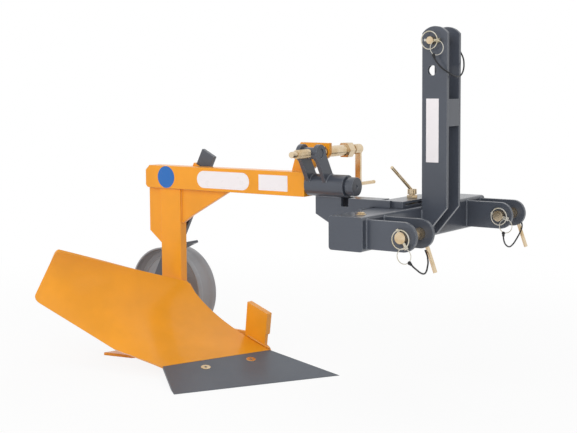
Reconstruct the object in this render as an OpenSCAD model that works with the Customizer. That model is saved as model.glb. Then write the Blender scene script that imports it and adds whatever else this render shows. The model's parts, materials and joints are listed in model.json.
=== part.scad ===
// Single-furrow moldboard plough for a three-point hitch.
// Modelled from the hitch: X forward, Y to the left, Z up, zero on the front
// face of the crossbar, in the mast's mid-plane, at the height of the lower pins.

/* [Headstock] */
// Length of the crossbar
bar_l = 640; // [600:5:760]
// Fore-and-aft depth of the crossbar
bar_d = 95; // [85:1:110]
// Height of the crossbar
bar_h = 82; // [74:1:95]
// Wall of the crossbar tube
bar_wall = 5; // [3:0.5:8]
// Corner radius of the crossbar tube
bar_r = 8; // [6:1:12]
// Height of the lower pins above the floor as the plough stands
stand_h = 408; // [400:1:420]

/* [Mast] */
// Height of the top pin above the lower pins
mast_h = 457; // [430:1:500]
// Width of a mast plate
mast_w = 70; // [60:1:80]
// Thickness of a mast plate
mast_t = 10; // [8:1:14]
// Clear gap between the mast plates
mast_gap = 54; // [48:1:60]
// Distance of the top pin from the crossbar face
top_pin_x = 28; // [24:1:36]
// Diameter of the top pin
top_pin_d = 19; // [16:0.5:22]
// Diameter of the spare top-link hole
spare_hole_d = 25.5; // [22:0.5:28]
// Rise of the mast's rounded head
head_rise = 17; // [12:1:30]
// Drop of the spare hole below the top pin
spare_drop = 74; // [66:1:90]
// Height of the spacer plate's centre above the lower pins
spacer_z = 278; // [240:1:300]
// Height of the spacer plate
spacer_h = 68; // [50:1:90]
// Thickness of the spacer plate
spacer_t = 8; // [6:1:12]

/* [Lower hitch] */
// Distance of each clevis from the mid-plane
clevis_y = 257; // [240:1:262]
// Clear gap between a clevis's two ears
clevis_gap = 70; // [56:1:76]
// Thickness of an ear
ear_t = 10; // [8:1:12]
// Height of an ear
ear_h = 70; // [60:1:76]
// Corner cut of an ear's tip
ear_cut = 20; // [10:1:26]
// Distance of the lower pins ahead of the crossbar
pin_reach = 97; // [90:1:110]
// Diameter of a lower pin
pin_d = 28; // [22:0.5:30]
// How far a pin's near end stands out of its ear
pin_proud = 14; // [14:1:16]
// Diameter of a pin's bent handle
pin_handle_d = 10; // [8:1:12]
// Length of a pin's bent handle
pin_handle_l = 98; // [80:1:110]
// Turn of a pin's bent handle from upright
handle_turn = 160; // [150:1:180]
// How far the top pin's ends stand out of the mast plates
pin_end = 14; // [12:1:18]
// Diameter of a lynch pin
lynch_d = 8; // [6:0.5:8]
// Diameter of the lynch pin's wire ring, middle of the wire
lynch_ring_d = 44; // [38:1:50]
// Diameter of the ring's wire
ring_wire = 3; // [2.5:0.5:4]
// Diameter of the link ring that holds the tether, middle of the wire
link_ring_d = 36; // [30:1:40]
// Diameter of the link ring's wire
link_wire = 2; // [1.5:0.5:3]
// Turn of the lynch pins' heads from upright: top, right and left
lynch_turn = [92, 150, 105]; // [0:1:180]
// Diameter of a tether
tether_d = 4; // [3:0.5:5]

/* [Carriage] */
// Distance of the beam's plane to the right of the mid-plane
beam_off = 110; // [100:1:120]
// Thickness of the carriage's cheek plate
cheek_t = 12; // [8:1:14]
// Rear edge of the cheek plate, behind the crossbar face
cheek_rear = 270; // [255:1:285]
// Height of the cheek's front finger above the lower pins
cheek_top = 60; // [56:1:62]
// Height of the cheek's rear corner above the lower pins
cheek_heel = 15; // [5:1:25]
// Length of the cheek's rear corner cut
cheek_cut = 42; // [30:1:55]
// Depth of the cheek's notch and of its rear corner cut
cheek_notch = 22; // [16:1:26]
// Clear gap between the carriage's two cheek plates
cheek_gap = 30; // [24:1:36]
// Thickness of the plate over the cheeks' fingers
finger_t = 6; // [5:1:8]
// Width of the plate behind the crossbar
back_w = 120; // [90:1:150]
// Thickness of the plate behind the crossbar
back_t = 10; // [8:1:14]
// Length of the clamp saddle
saddle_l = 196; // [150:2:230]
// Width of the clamp saddle
saddle_w = 62; // [50:1:70]
// Height of the clamp saddle
saddle_h = 17; // [14:1:24]
// Height of the saddle's slit
slit_h = 4; // [3:0.5:6]
// Solid length at each end of the saddle's slit
slit_end = 12; // [8:1:16]
// Diameter of the clamp bolt
clamp_d = 16; // [12:1:18]
// Distance of the clamp bolt to the right of the mid-plane
clamp_off = 2; // [0:1:30]
// Travel of the carriage to either side
offset_travel = 50; // [40:1:55]
// Height of the clamp bolt's head
clamp_head = 10; // [8:1:16]
// Diameter of the clamp's handle
handle_d = 8.5; // [7:0.5:11]
// Reach of the clamp's handle: forward, left and up
handle_lean = [-20, -69, 72]; // [-90:1:90]

/* [Tilt pivot] */
// Height of the pivot shaft above the lower pins
pivot_z = 90; // [89:1:96]
// Outside diameter of the pivot sleeve
sleeve_d = 58; // [54:1:62]
// Length of the pivot sleeve
sleeve_l = 118; // [110:1:124]
// Front end of the sleeve behind the crossbar face
sleeve_front = 173; // [170:1:178]
// Diameter of the pivot shaft
shaft_d = 40; // [34:1:44]
// Diameter of the shaft's front cap
cap_d = 48; // [46:1:52]
// Length of the shaft's front cap
cap_l = 22; // [18:1:30]
// Height of the tilt screw above the pivot shaft
screw_h = 85; // [78:1:90]
// Sideways lean of the lugs at the screw
lug_lean = 50; // [46:1:56]
// Width of a lug
lug_w = 38; // [34:1:42]
// Diameter of a lug's round head
lug_head = 46; // [42:1:50]
// Thickness of a lug
lug_t = 12; // [10:1:14]
// Gap between the two lugs
lug_gap = 40; // [36:1:44]
// Distance of the rear lug from the sleeve's rear end
lug_end = 5; // [3:1:8]
// Diameter of the nut that turns between the lugs
nut_d = 30; // [29:1:36]
// Diameter of the nut's end journals
journal_d = 24; // [20:1:26]

/* [Tilt screw] */
// Diameter of the screw
screw_d = 23; // [18:0.5:24]
// Right end of the screw, from the mid-plane
screw_right = 247; // [235:1:260]
// Diameter of the screw's end nub
nub_d = 16; // [12:1:18]
// Length of the screw's end nub
nub_l = 22; // [16:1:28]
// Gap between the bracket and the bearing tube
bearing_gap = 5; // [5:0.5:8]
// Diameter of the bearing tube
tube_d = 29; // [27:1:34]
// Length of the bearing tube
tube_l = 84; // [70:1:95]
// Width across the bearing's hexagon
hex_w = 38; // [34:1:42]
// Length of the bearing's hexagon
hex_l = 26; // [18:1:30]
// Length of the crank's hub
hub_l = 34; // [28:1:40]
// Diameter of the crank's hub
hub_d = 27; // [24:1:30]
// Length of the neck between hexagon and hub
neck_l = 16; // [12:1:20]
// Length of the crank's arm
crank_l = 96; // [80:1:105]
// Width of the crank's arm
crank_w = 16; // [14:1:20]
// Thickness of the crank's arm
crank_t = 8; // [6:1:10]
// Length of the crank's grip
grip_l = 78; // [70:1:90]
// Diameter of the crank's grip
grip_d = 10; // [9:1:13]
// Room round the screw in the bracket's eye
bracket_room = 3; // [2.8:0.1:4]
// Rise of the eye's middle over the screw, shared between both ends of the tilt
eye_rise = 0.8; // [0.6:0.1:1]

/* [Beam] */
// Height of the beam tube
beam_h = 64; // [58:1:70]
// Width of the beam tube
beam_w = 40; // [36:1:44]
// Wall of the beam tube
beam_wall = 5; // [3:0.5:7]
// Rear end of the beam, behind the crossbar face
beam_rear = 850; // [840:1:870]
// Corner cut of the beam's rear end
beam_cut = 14; // [8:1:18]
// Gap between the beam's front end and the pivot sleeve
beam_gap = 5; // [5:0.5:8]
// Thickness of the screw's bracket
bracket_t = 12; // [8:1:12]
// Length of the bracket's foot on the beam
bracket_foot = 58; // [50:1:66]
// Rear of the bracket behind the screw
bracket_back = 80; // [70:1:88]
// Corner cut of the bracket
bracket_cut = 10; // [6:1:14]
// Outside diameter of the bracket's eye
eye_d = 40; // [38:1:46]
// Rise of the bracket's top over the middle of its eye
bracket_rise = 23; // [20:1:26]
// Distance of the bracket to the left of the beam's mid-plane
bracket_off = 12; // [12:1:14]
// Front of the post, behind the crossbar face
post_front = 727; // [720:1:735]
// Fore-and-aft width of the post
post_w = 73; // [66:1:78]
// Thickness of the post
post_t = 25; // [20:1:28]
// Height of the post's foot above the floor
post_foot = 66; // [60:1:80]
// Thickness of the knee plates
knee_t = 12; // [8:1:14]
// Length of the front knee along the beam
knee_front_l = 172; // [140:1:190]
// Height of the front knee
knee_front_h = 100; // [80:1:110]
// Length of the rear knee along the beam
knee_rear_l = 49; // [40:1:50]
// Height of the rear knee
knee_rear_h = 164; // [140:1:180]
// Corner cut of the front knee, along and up
knee_cut = [38, 26]; // [10:1:60]
// Corner cut of the rear knee
knee_rear_cut = 38; // [20:1:60]

/* [Share and moldboard] */
// Tip of the share behind the crossbar face
tip_x = 204; // [190:1:215]
// Tip of the share to the right of the mid-plane
tip_y = 101; // [96:1:105]
// Length of the cutting edge
edge_l = 453; // [430:1:470]
// Angle of the cutting edge to the line of travel
edge_angle = 58.3; // [55:0.1:60]
// Slope of the share
share_pitch = 11; // [9:0.5:13]
// Thickness of share and moldboard
plate_t = 8; // [6:0.5:10]
// Depth of the share at its shin side
share_shin = 199; // [190:1:205]
// Depth of the share at its wing side
share_wing = 166; // [155:1:175]
// Set-back of the share's shin corner along the edge
shin_set = 119; // [110:1:125]
// Set-back of the share's wing corner from the edge's end
wing_set = 21; // [10:1:30]
// Thickness of the frog's plates
frog_t = 12; // [8:1:14]
// Lap of the frog's sloped plate behind the seam of share and moldboard
frog_lap = 34; // [25:1:45]
// Set-back of the frog's sloped plate from the share's wing
frog_short = 90; // [70:1:120]
// Height of the frog's upright plate above the floor
web_lift = 4; // [2:1:8]
// Set-back of the frog's upright plate behind the moldboard's shin
web_set = 12; // [8:1:16]
// Thickness of the landside
landside_t = 10; // [8:1:14]
// Height of the landside
landside_h = 76; // [60:1:90]
// Front end of the landside, behind the crossbar face
landside_front = 430; // [425:1:450]
// Rear end of the landside, behind the crossbar face
landside_rear = 840; // [800:1:850]
// Slope of the landside's front end, fore and aft
landside_nose = 70; // [50:1:80]
// Corner cut of the landside's rear end
landside_cut = 20; // [10:1:30]
// Thickness of the heel plate
heel_t = 8; // [6:1:12]
// Front of the heel plate, behind the crossbar face
heel_front = 640; // [600:1:680]
// Tip of the heel plate, behind the crossbar face
heel_back = 880; // [860:1:890]
// Tip of the heel plate, to the right of the mid-plane
heel_out = 283; // [260:1:300]
// Width of the heel plate at its tip
heel_w = 90; // [70:1:110]
// Slant of the heel plate's tip
heel_slant = 17; // [0:1:30]
// Front of the cutter fin's head, behind the crossbar face
fin_front = 442; // [435:1:450]
// Width of the cutter fin's head
fin_w = 69; // [60:1:80]
// Thickness of the cutter fin's head
fin_t = 20; // [14:1:22]
// Height of the cutter fin's front corner above the floor
fin_h = 135; // [120:1:150]
// Rise of the cutter fin's head towards the rear
fin_rise = 27; // [15:1:35]
// Set-back of the cutter fin's foot from its head
fin_set = 16; // [8:1:24]
// Height of the moldboard's front corner above the floor
board_h = 202; // [190:1:215]
// Height of the moldboard's tail above the floor
tail_h = 310; // [290:1:330]
// Height of the tail's lower corner above the floor
tail_low = 166; // [150:1:185]
// Tail of the moldboard, behind the crossbar face
tail_x = 1018; // [1000:1:1030]
// Tail of the moldboard, to the right of the mid-plane
tail_y = 416; // [400:1:430]
// Forward slant of the tail's edge
tail_slant = 96; // [80:1:110]
// Hollow of the moldboard at its tail
tail_sag = 38; // [20:1:45]
// Kink of the lower edge, behind the crossbar face
kink_x = 730; // [710:1:750]
// Kink of the lower edge, to the right of the mid-plane
kink_y = 395; // [380:1:410]
// Height of the kink above the floor
kink_h = 58; // [45:1:70]
// Deepest place of the shin's curve, behind the crossbar face
sag_x = 640; // [620:1:660]
// Height of the shin curve's deepest place above the floor
sag_h = 101; // [90:1:112]

/* [Depth wheel] */
// Diameter of the wheel
wheel_d = 270; // [260:1:280]
// Width of the wheel
wheel_w = 80; // [70:1:90]
// Wall of the pressed wheel
wheel_wall = 5; // [3:0.5:6]
// Step of the wheel's tread
wheel_step = 14; // [10:1:18]
// Distance of the wheel's disc from its right rim
disc_set = 30; // [29:1:36]
// Width of the disc's flat outer band
disc_band = 28; // [20:1:36]
// Width of the disc's slanted band
disc_slant = 18; // [12:1:24]
// Step of the disc towards the hub
disc_step = 12; // [6:1:14]
// Fore-and-aft length of the scraper
scraper_l = 50; // [40:1:60]
// Thickness of the scraper
scraper_t = 8; // [6:1:10]
// Width of the scraper across the tread
scraper_w = 116; // [100:1:130]
// Distance of the scraper ahead of the wheel's centre
scraper_lead = 74; // [70:1:80]
// Height of the scraper above the wheel's centre
scraper_h = 147; // [144:1:152]
// Slope of the scraper
scraper_rise = 24; // [15:1:30]
// Wheel centre behind the crossbar face
wheel_x = 900; // [890:1:910]
// Wheel centre to the left of the mid-plane
wheel_y = 40; // [35:1:60]
// Outside diameter of the wheel's hub
wheel_hub_d = 54; // [48:1:60]
// Diameter of the wheel's axle
axle_d = 25; // [20:1:30]
// Lean of the wheel's leg from upright
leg_lean = 26.75; // [24:0.25:30]
// Set-forward of the leg from its axle
leg_set = 24; // [18:1:26]
// Width of the wheel's leg
leg_w = 48; // [40:1:50]
// Thickness of the wheel's leg
leg_t = 12; // [10:1:14]
// Length of the leg above the beam's middle
leg_over = 78; // [60:1:110]
// Wall of the clamp that holds the leg
holder_wall = 6; // [5:0.5:8]
// Height of the clamp that holds the leg
holder_h = 62; // [50:1:70]

/* [Hidden] */
$fn = 48;

// Clearances
slide_room = 0.3;
run_room = 0.08;
pin_room = 0.1;
seam_room = 0.5;

// Colours
gray = [0.30, 0.32, 0.35];
orange = [0.94, 0.58, 0.16];
zinc = [0.80, 0.68, 0.46];
steel = [0.38, 0.40, 0.42];
black = [0.06, 0.06, 0.06];

// Places worked out from the sizes
floor_z = -stand_h;
wheel_z = floor_z + wheel_d / 2;
ear_tip = pin_reach + ear_h / 2;
wheel_end = -wheel_x - wheel_d / 2;
tip = [-tip_x, -tip_y, floor_z];
edge_dir = [-cos(edge_angle), -sin(edge_angle), 0];
wing_y = tip.y + edge_l * edge_dir.y;
mid_x = (ear_tip + wheel_end) / 2;
mid_y = (bar_l / 2 + wing_y) / 2;
bar_top = bar_h / 2;
saddle_z = bar_top + slide_room;
saddle_x = -bar_d / 2;
sleeve_rear = sleeve_front + sleeve_l;
beam_front = sleeve_rear + beam_gap;
beam_z = pivot_z - beam_h / 2;
screw_z = pivot_z + screw_h;
eye_z = screw_z + eye_rise;
screw_x = -sleeve_rear + lug_t + lug_gap / 2 + lug_end;
nut_y = -beam_off - lug_lean;
bracket_y = -beam_off + bracket_off;
bearing_y = bracket_y + bracket_t / 2 + bearing_gap;
hub_y = bearing_y + tube_l + hex_l + neck_l;
post_face = -beam_off - post_t / 2;
post_foot_z = floor_z + post_foot;
web_y = post_face + post_t;
leg_y = -beam_off + beam_w / 2 + holder_wall;
holder_up = (pivot_z - wheel_z + leg_set * sin(leg_lean)) / cos(leg_lean);
mast_y = mast_gap / 2;
mast_top = mast_h + mast_w / 2;
head_r = (mast_w * mast_w / 4 + head_rise * head_rise) / (2 * head_rise);

// Tether routes, in the hitch frame
tether_top_route = [
    [41, -53.5, 420], [43, -53.5, 413], [47, -53, 406], [52, -52, 399], [58, -50, 392], [65, -46, 385], [72, -40, 379],
    [77, -31, 373], [80, -20, 369], [82, -8, 367], [82, 4, 368], [82, 15, 372], [81, 25, 379], [79, 34, 388],
    [76, 41, 399], [72, 46, 411], [66, 48, 423], [59, 48, 434], [50, 47, 444], [38.5, 46, 455]
];
tether_right_route = [
    [124.3, -318.5, -54.8], [127, -315, -59], [129, -310, -64], [131, -304, -69], [133, -297, -74], [134, -289, -79],
    [135, -280, -83], [135, -271, -85], [134.5, -262, -84], [133, -253, -79], [130, -244, -72], [127, -236, -65],
    [122, -228, -58], [117, -221, -52], [111, -215, -46], [105.5, -211, -40]
];
tether_left_route = [
    [116, 195.5, -44], [115.5, 196.5, -52], [115, 199, -59], [114.5, 203, -66], [114.5, 209, -73], [115, 217, -79],
    [116, 226, -83], [117, 236, -84], [118, 246, -81], [119, 256, -76], [120, 266, -69], [121, 276, -61],
    [122, 286, -52], [122.5, 295, -43], [121, 302, -35], [118, 306, -28], [114, 307.5, -20], [109.5, 307.5, -13]
];

function unit(v) = v / norm(v);
function bend(a, c, b, t) = (1 - t) * (1 - t) * a + 2 * t * (1 - t) * c + t * t * b;

// Stands the plough on the floor, its box centred on the origin
module stand() {
    translate([-mid_x, -mid_y, stand_h]) children();
}

// Plate outline drawn in X and Z, as thick as t, with its right face at y
module upright(y, t) {
    translate([0, y + t, 0]) rotate([90, 0, 0]) linear_extrude(t) children();
}

// Round bar across the plough from y0 to y1
module cross_bar(x, z, d, y0, y1) {
    translate([x, y0, z]) rotate([-90, 0, 0]) cylinder(d = d, h = y1 - y0);
}

// Hole across a plate of thickness t whose right face lies at y
module cross_hole(x, z, d, y, t) {
    cross_bar(x, z, d, y - t, y + 2 * t);
}

// Round bar between two points
module rod(a, b, d) {
    v = b - a;
    translate(a) rotate([0, acos(v.z / norm(v)), atan2(v.y, v.x)]) cylinder(d = d, h = norm(v));
}

// Tube swept along a route of points
module swept_tube(route, d) {
    sides = 8;
    last = len(route) - 1;
    along = [for (i = [0:last]) unit(route[min(i + 1, last)] - route[max(i - 1, 0)])];
    side = [for (a = along) unit(cross(a, [1, 0, 0.6]))];
    ring_pts = [
        for (i = [0:last], k = [0:sides - 1])
            route[i] + d / 2 * (cos(360 * k / sides) * side[i] + sin(360 * k / sides) * cross(along[i], side[i]))
    ];
    walls = [
        for (i = [0:last - 1], k = [0:sides - 1])
            let (n = (k + 1) % sides, low = i * sides, high = low + sides)
            each [[high + n, low + n, low + k], [high + k, high + n, low + k]]
    ];
    start_cap = [[for (k = [0:sides - 1]) k]];
    end_cap = [[for (k = [sides - 1:-1:0]) last * sides + k]];
    polyhedron(ring_pts, concat(walls, start_cap, end_cap), convexity = 6);
}

// Rectangle with round corners, centred
module round_rect(w, h, r) {
    for (sx = [-1, 1], sy = [-1, 1]) translate([sx * (w / 2 - r), sy * (h / 2 - r)]) circle(r);
    square([w - 2 * r, h], center = true);
    square([w, h - 2 * r], center = true);
}

// Hollow crossbar with closed ends and a slot for the clamp bolt
module crossbar() color(gray) stand() difference() {
    slot_w = clamp_d + 4;
    translate([-bar_d / 2, bar_l / 2, 0]) rotate([90, 0, 0]) linear_extrude(bar_l) round_rect(bar_d, bar_h, bar_r);
    translate([-bar_d / 2, 0, 0])
        cube([bar_d - 2 * bar_wall, bar_l - 2 * bar_wall, bar_h - 2 * bar_wall], center = true);
    translate([saddle_x, -clamp_off, bar_top - bar_wall / 2])
        cube([slot_w, 2 * offset_travel + slot_w, 2 * bar_wall], center = true);
}

// Mast plate with its right face at y: rounded head, two holes, sloped foot on the crossbar
module mast_plate(y) difference() {
    foot = -bar_top + bar_r;
    shoulder = mast_top - head_rise;
    union() {
        upright(y, mast_t) polygon([[0, foot], [0, shoulder], [mast_w, shoulder], [mast_w, bar_top], [bar_r, foot]]);
        intersection() {
            cross_bar(mast_w / 2, mast_top - head_r, 2 * head_r, y, y + mast_t);
            translate([0, y, mast_h]) cube([mast_w, mast_t, mast_w]);
        }
    }
    cross_hole(top_pin_x, mast_h, top_pin_d + 2 * pin_room, y, mast_t);
    cross_hole(top_pin_x, mast_h - spare_drop, spare_hole_d, y, mast_t);
}

module mast_plate_right() color(gray) stand() mast_plate(-mast_y - mast_t);
module mast_plate_left() color(gray) stand() mast_plate(mast_y);

// Spacer welded between the mast plates
module mast_spacer() color(gray) stand()
    translate([mast_w - spacer_t, -mast_y, spacer_z - spacer_h / 2]) cube([spacer_t, mast_gap, spacer_h]);

// One ear with its tip's corners cut, bored for the lower pin
module ear(y) difference() {
    half = ear_h / 2;
    upright(y, ear_t) polygon([
        [0, -half], [ear_tip - ear_cut, -half], [ear_tip, -half + ear_cut], [ear_tip, half - ear_cut],
        [ear_tip - ear_cut, half], [0, half]
    ]);
    cross_hole(pin_reach, 0, pin_d + 2 * pin_room, y, ear_t);
}

// Pair of ears round the gap for a lower link
module ear_pair(y) {
    ear(y - clevis_gap / 2 - ear_t);
    ear(y + clevis_gap / 2);
}

module lower_ears_right() color(gray) stand() ear_pair(-clevis_y);
module lower_ears_left() color(gray) stand() ear_pair(clevis_y);

// Hole across a pin's near end for a lynch pin whose head is turned from upright
module lynch_hole(x, y, z, hold_d, turn) {
    translate([x, y, z]) rotate([0, turn, 0]) cylinder(d = lynch_d + 2 * pin_room, h = 2 * hold_d, center = true);
}

// Lower pin with the cross hole for its lynch pin and a bent handle at its left end
module lower_pin(y, turn) {
    near = y - clevis_gap / 2 - ear_t - pin_proud;
    far = y + clevis_gap / 2 + ear_t + pin_handle_d + seam_room;
    difference() {
        cross_bar(pin_reach, 0, pin_d, near, far);
        lynch_hole(pin_reach, near + pin_proud / 2, 0, pin_d, turn);
    }
    translate([pin_reach, far - pin_handle_d / 2, 0]) rotate([0, handle_turn, 0])
        cylinder(d = pin_handle_d, h = pin_handle_l);
}

module lower_pin_right() color(zinc) stand() lower_pin(-clevis_y, lynch_turn[1]);
module lower_pin_left() color(zinc) stand() lower_pin(clevis_y, lynch_turn[2]);

// Top pin with the cross hole for its lynch pin
module top_link_pin() color(zinc) stand() difference() {
    near = -mast_y - mast_t - pin_end;
    cross_bar(top_pin_x, mast_h, top_pin_d, near, mast_y + mast_t + pin_end);
    lynch_hole(top_pin_x, near + pin_end / 2, mast_h, top_pin_d, lynch_turn[0]);
}

// Wire ring across the plough's Y axis, centred
module wire_ring(d, wire) {
    rotate([90, 0, 0]) rotate_extrude() translate([d / 2, 0]) circle(d = wire, $fn = 16);
}

// Lynch pin through a pin's near end, its ring snapped over that end and a link ring hung from its head
module lynch_pin(x, y, z, hold_d, turn) {
    foot = hold_d / 2 + lynch_d;
    eye = foot + lynch_d / 2;
    ring_y = -lynch_d / 2 - ring_wire;
    link_y = ring_y - (ring_wire + link_wire) / 2;
    translate([x, y, z]) {
        rotate([0, turn, 0]) {
            translate([0, 0, -foot]) cylinder(d = lynch_d, h = 2 * foot);
            translate([0, 0, foot]) cylinder(d = lynch_d + ring_wire, h = lynch_d);
            translate([0, ring_y, eye - lynch_ring_d / 2]) wire_ring(lynch_ring_d, ring_wire);
            cross_bar(0, eye, ring_wire, link_y, 0);
        }
        translate([eye * sin(turn), link_y, eye * cos(turn) - link_ring_d / 2]) wire_ring(link_ring_d, link_wire);
    }
}

module lynch_pin_top() color(zinc) stand()
    lynch_pin(top_pin_x, -mast_y - mast_t - pin_end / 2, mast_h, top_pin_d, lynch_turn[0]);
module lynch_pin_right() color(zinc) stand()
    lynch_pin(pin_reach, -clevis_y - clevis_gap / 2 - ear_t - pin_proud / 2, 0, pin_d, lynch_turn[1]);
module lynch_pin_left() color(zinc) stand()
    lynch_pin(pin_reach, clevis_y - clevis_gap / 2 - ear_t - pin_proud / 2, 0, pin_d, lynch_turn[2]);

module tether_top() color(black) stand() swept_tube(tether_top_route, tether_d);
module tether_right() color(black) stand() swept_tube(tether_right_route, tether_d);
module tether_left() color(black) stand() swept_tube(tether_left_route, tether_d);

// Cheek plates: the right one under the pivot sleeve with a finger over the crossbar, the left one
// beside it, and the plate that joins both over the fingers
module carriage_cheek() color(gray) stand() {
    notch_x = -sleeve_front + cheek_t / 3;
    step_x = notch_x - cheek_notch;
    step_z = cheek_top - cheek_notch;
    back = -bar_d - slide_room - back_t;
    foot = -bar_top + bar_r;
    right = -beam_off - cheek_t / 2;
    heel = [[-cheek_rear, cheek_heel], [-cheek_rear + cheek_cut, cheek_heel - cheek_notch]];
    base = concat(heel, [[back - back_t, foot], [back, foot], [back, saddle_z]]);
    finger_x = saddle_x - saddle_w / 2 - seam_room;
    difference() {
        upright(right, cheek_t) polygon(concat([[-cheek_rear, pivot_z]], base, [
            [saddle_x, saddle_z], [saddle_x, cheek_top], [notch_x, cheek_top], [notch_x, step_z], [step_x, step_z],
            [step_x, pivot_z]
        ]));
        translate([-sleeve_rear, -beam_off, pivot_z]) rotate([0, 90, 0]) cylinder(d = sleeve_d, h = 2 * sleeve_l);
    }
    upright(right + cheek_t + cheek_gap, cheek_t)
        polygon(concat([[-cheek_rear, cheek_top]], base, [[finger_x, saddle_z], [finger_x, cheek_top]]));
    translate([notch_x, right + cheek_t, cheek_top - finger_t]) cube([finger_x - notch_x, cheek_gap, finger_t]);
}

// Plate that bears on the back of the crossbar
module carriage_back() color(gray) stand()
    translate([-bar_d - slide_room - back_t, -beam_off - back_w / 2, -bar_top + bar_r])
        cube([back_t, back_w, bar_top + saddle_z - bar_r]);

// Slit saddle on the crossbar, with the hole for its clamp bolt
module clamp_saddle() color(gray) stand() difference() {
    right = -beam_off + cheek_t / 2;
    translate([saddle_x - saddle_w / 2, right, saddle_z]) cube([saddle_w, saddle_l, saddle_h]);
    translate([saddle_x - saddle_w, right + slit_end, saddle_z + saddle_h / 2 - slit_h / 2])
        cube([2 * saddle_w, saddle_l - 2 * slit_end, slit_h]);
    translate([saddle_x, -clamp_off, 0]) cylinder(d = clamp_d + 2 * pin_room, h = 4 * saddle_h);
}

// Clamp bolt with its foot under the crossbar's top wall
module clamp_bolt() color(zinc) stand() translate([saddle_x, -clamp_off, 0]) {
    foot_h = clamp_d / 2;
    foot_z = bar_top - bar_wall - slide_room - foot_h;
    head_z = saddle_z + saddle_h;
    translate([0, 0, foot_z]) cylinder(d = clamp_d, h = head_z + clamp_head - foot_z);
    translate([-clamp_d, -clamp_d, foot_z]) cube([2 * clamp_d, 2 * clamp_d, foot_h]);
    translate([0, 0, head_z]) cylinder(d = 1.9 * clamp_d, h = clamp_head * 0.75, $fn = 6);
}

// Long handle of the clamp, leaning over the crossbar from a hub on the bolt
module clamp_handle() color(zinc) stand() {
    base = [saddle_x, -clamp_off, saddle_z + saddle_h + clamp_head];
    translate(base) cylinder(d = 1.5 * clamp_d, h = 1.5 * handle_d);
    rod(base + [0, 0, handle_d], base + handle_lean, handle_d);
}

// Sleeve in which the beam's shaft turns
module pivot_sleeve() color(gray) stand() translate([-sleeve_rear, -beam_off, pivot_z]) rotate([0, 90, 0])
    difference() {
        cylinder(d = sleeve_d, h = sleeve_l);
        translate([0, 0, -1]) cylinder(d = shaft_d + 2 * run_room, h = sleeve_l + 2);
    }

// One leaning lug, drawn across the plough with the pivot at zero
module lug_outline() {
    reach = norm([lug_lean, screw_h]);
    difference() {
        rotate(90 + atan(lug_lean / screw_h)) union() {
            translate([0, -lug_w / 2]) square([reach, lug_w]);
            translate([reach, 0]) circle(d = lug_head);
        }
        circle(d = sleeve_d);
        translate([-lug_lean, screw_h]) circle(d = journal_d + 2 * pin_room);
    }
}

// Two lugs on the sleeve that carry the nut
module pivot_lugs() color(gray) stand() for (side = [-1, 1])
    translate([screw_x + side * (lug_gap + lug_t) / 2 - lug_t / 2, -beam_off, pivot_z])
        rotate([90, 0, 90]) linear_extrude(lug_t) lug_outline();

// Nut with a journal in each lug, bored across for the screw
module screw_nut() color(gray) stand() difference() {
    translate([screw_x - lug_gap / 2, nut_y, screw_z]) rotate([0, 90, 0]) union() {
        translate([0, 0, slide_room]) cylinder(d = nut_d, h = lug_gap - 2 * slide_room);
        translate([0, 0, -lug_t]) cylinder(d = journal_d, h = lug_gap + 2 * lug_t);
    }
    cross_hole(screw_x, screw_z, screw_d + 2 * slide_room, nut_y, nut_d);
}

// Screw from its end nub to the bearing
module tilt_screw() color(zinc) stand() {
    cross_bar(screw_x, screw_z, nub_d, -screw_right, -screw_right + nub_l);
    cross_bar(screw_x, screw_z, screw_d, -screw_right + nub_l, bearing_y);
}

// Bearing tube with its hexagon and the neck of the crank
module screw_bearing() color(zinc) stand() {
    hex_y = bearing_y + tube_l;
    cross_bar(screw_x, screw_z, tube_d, bearing_y, hex_y);
    translate([screw_x, hex_y, screw_z]) rotate([-90, 0, 0]) cylinder(d = hex_w / cos(30), h = hex_l, $fn = 6);
    cross_bar(screw_x, screw_z, nub_d, hex_y + hex_l, hub_y);
}

// Hub and flat arm of the crank
module crank_arm() color(zinc) stand() {
    cross_bar(screw_x, screw_z, hub_d, hub_y, hub_y + hub_l);
    upright(hub_y + hub_l - crank_t, crank_t) union() {
        translate([screw_x - crank_w / 2, screw_z - crank_l]) square([crank_w, crank_l]);
        translate([screw_x, screw_z - crank_l]) circle(d = crank_w);
    }
}

module crank_grip() color(zinc) stand()
    cross_bar(screw_x, screw_z - crank_l, grip_d, hub_y + hub_l, hub_y + hub_l + grip_l);

// Shaft on the beam's front end, with the cap that keeps it in the sleeve
module pivot_shaft() color(gray) stand() translate([-beam_front, -beam_off, pivot_z]) rotate([0, 90, 0]) {
    cap_start = beam_front - sleeve_front + beam_gap;
    cylinder(d = shaft_d, h = cap_start);
    translate([0, 0, cap_start]) cylinder(d = cap_d, h = cap_l);
}

// Beam tube with closed ends, cut at its rear corners
module beam() color(orange) stand() difference() {
    top = beam_z + beam_h;
    upright(-beam_off - beam_w / 2, beam_w) polygon([
        [-beam_front, beam_z], [-beam_front, top], [-beam_rear + beam_cut, top], [-beam_rear, top - beam_cut],
        [-beam_rear, beam_z + beam_cut / 2], [-beam_rear + beam_cut / 2, beam_z]
    ]);
    translate([-beam_rear + beam_cut + beam_wall, -beam_off - beam_w / 2 + beam_wall, beam_z + beam_wall])
        cube([beam_rear - beam_front - beam_cut - 2 * beam_wall, beam_w - 2 * beam_wall, beam_h - 2 * beam_wall]);
}

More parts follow.
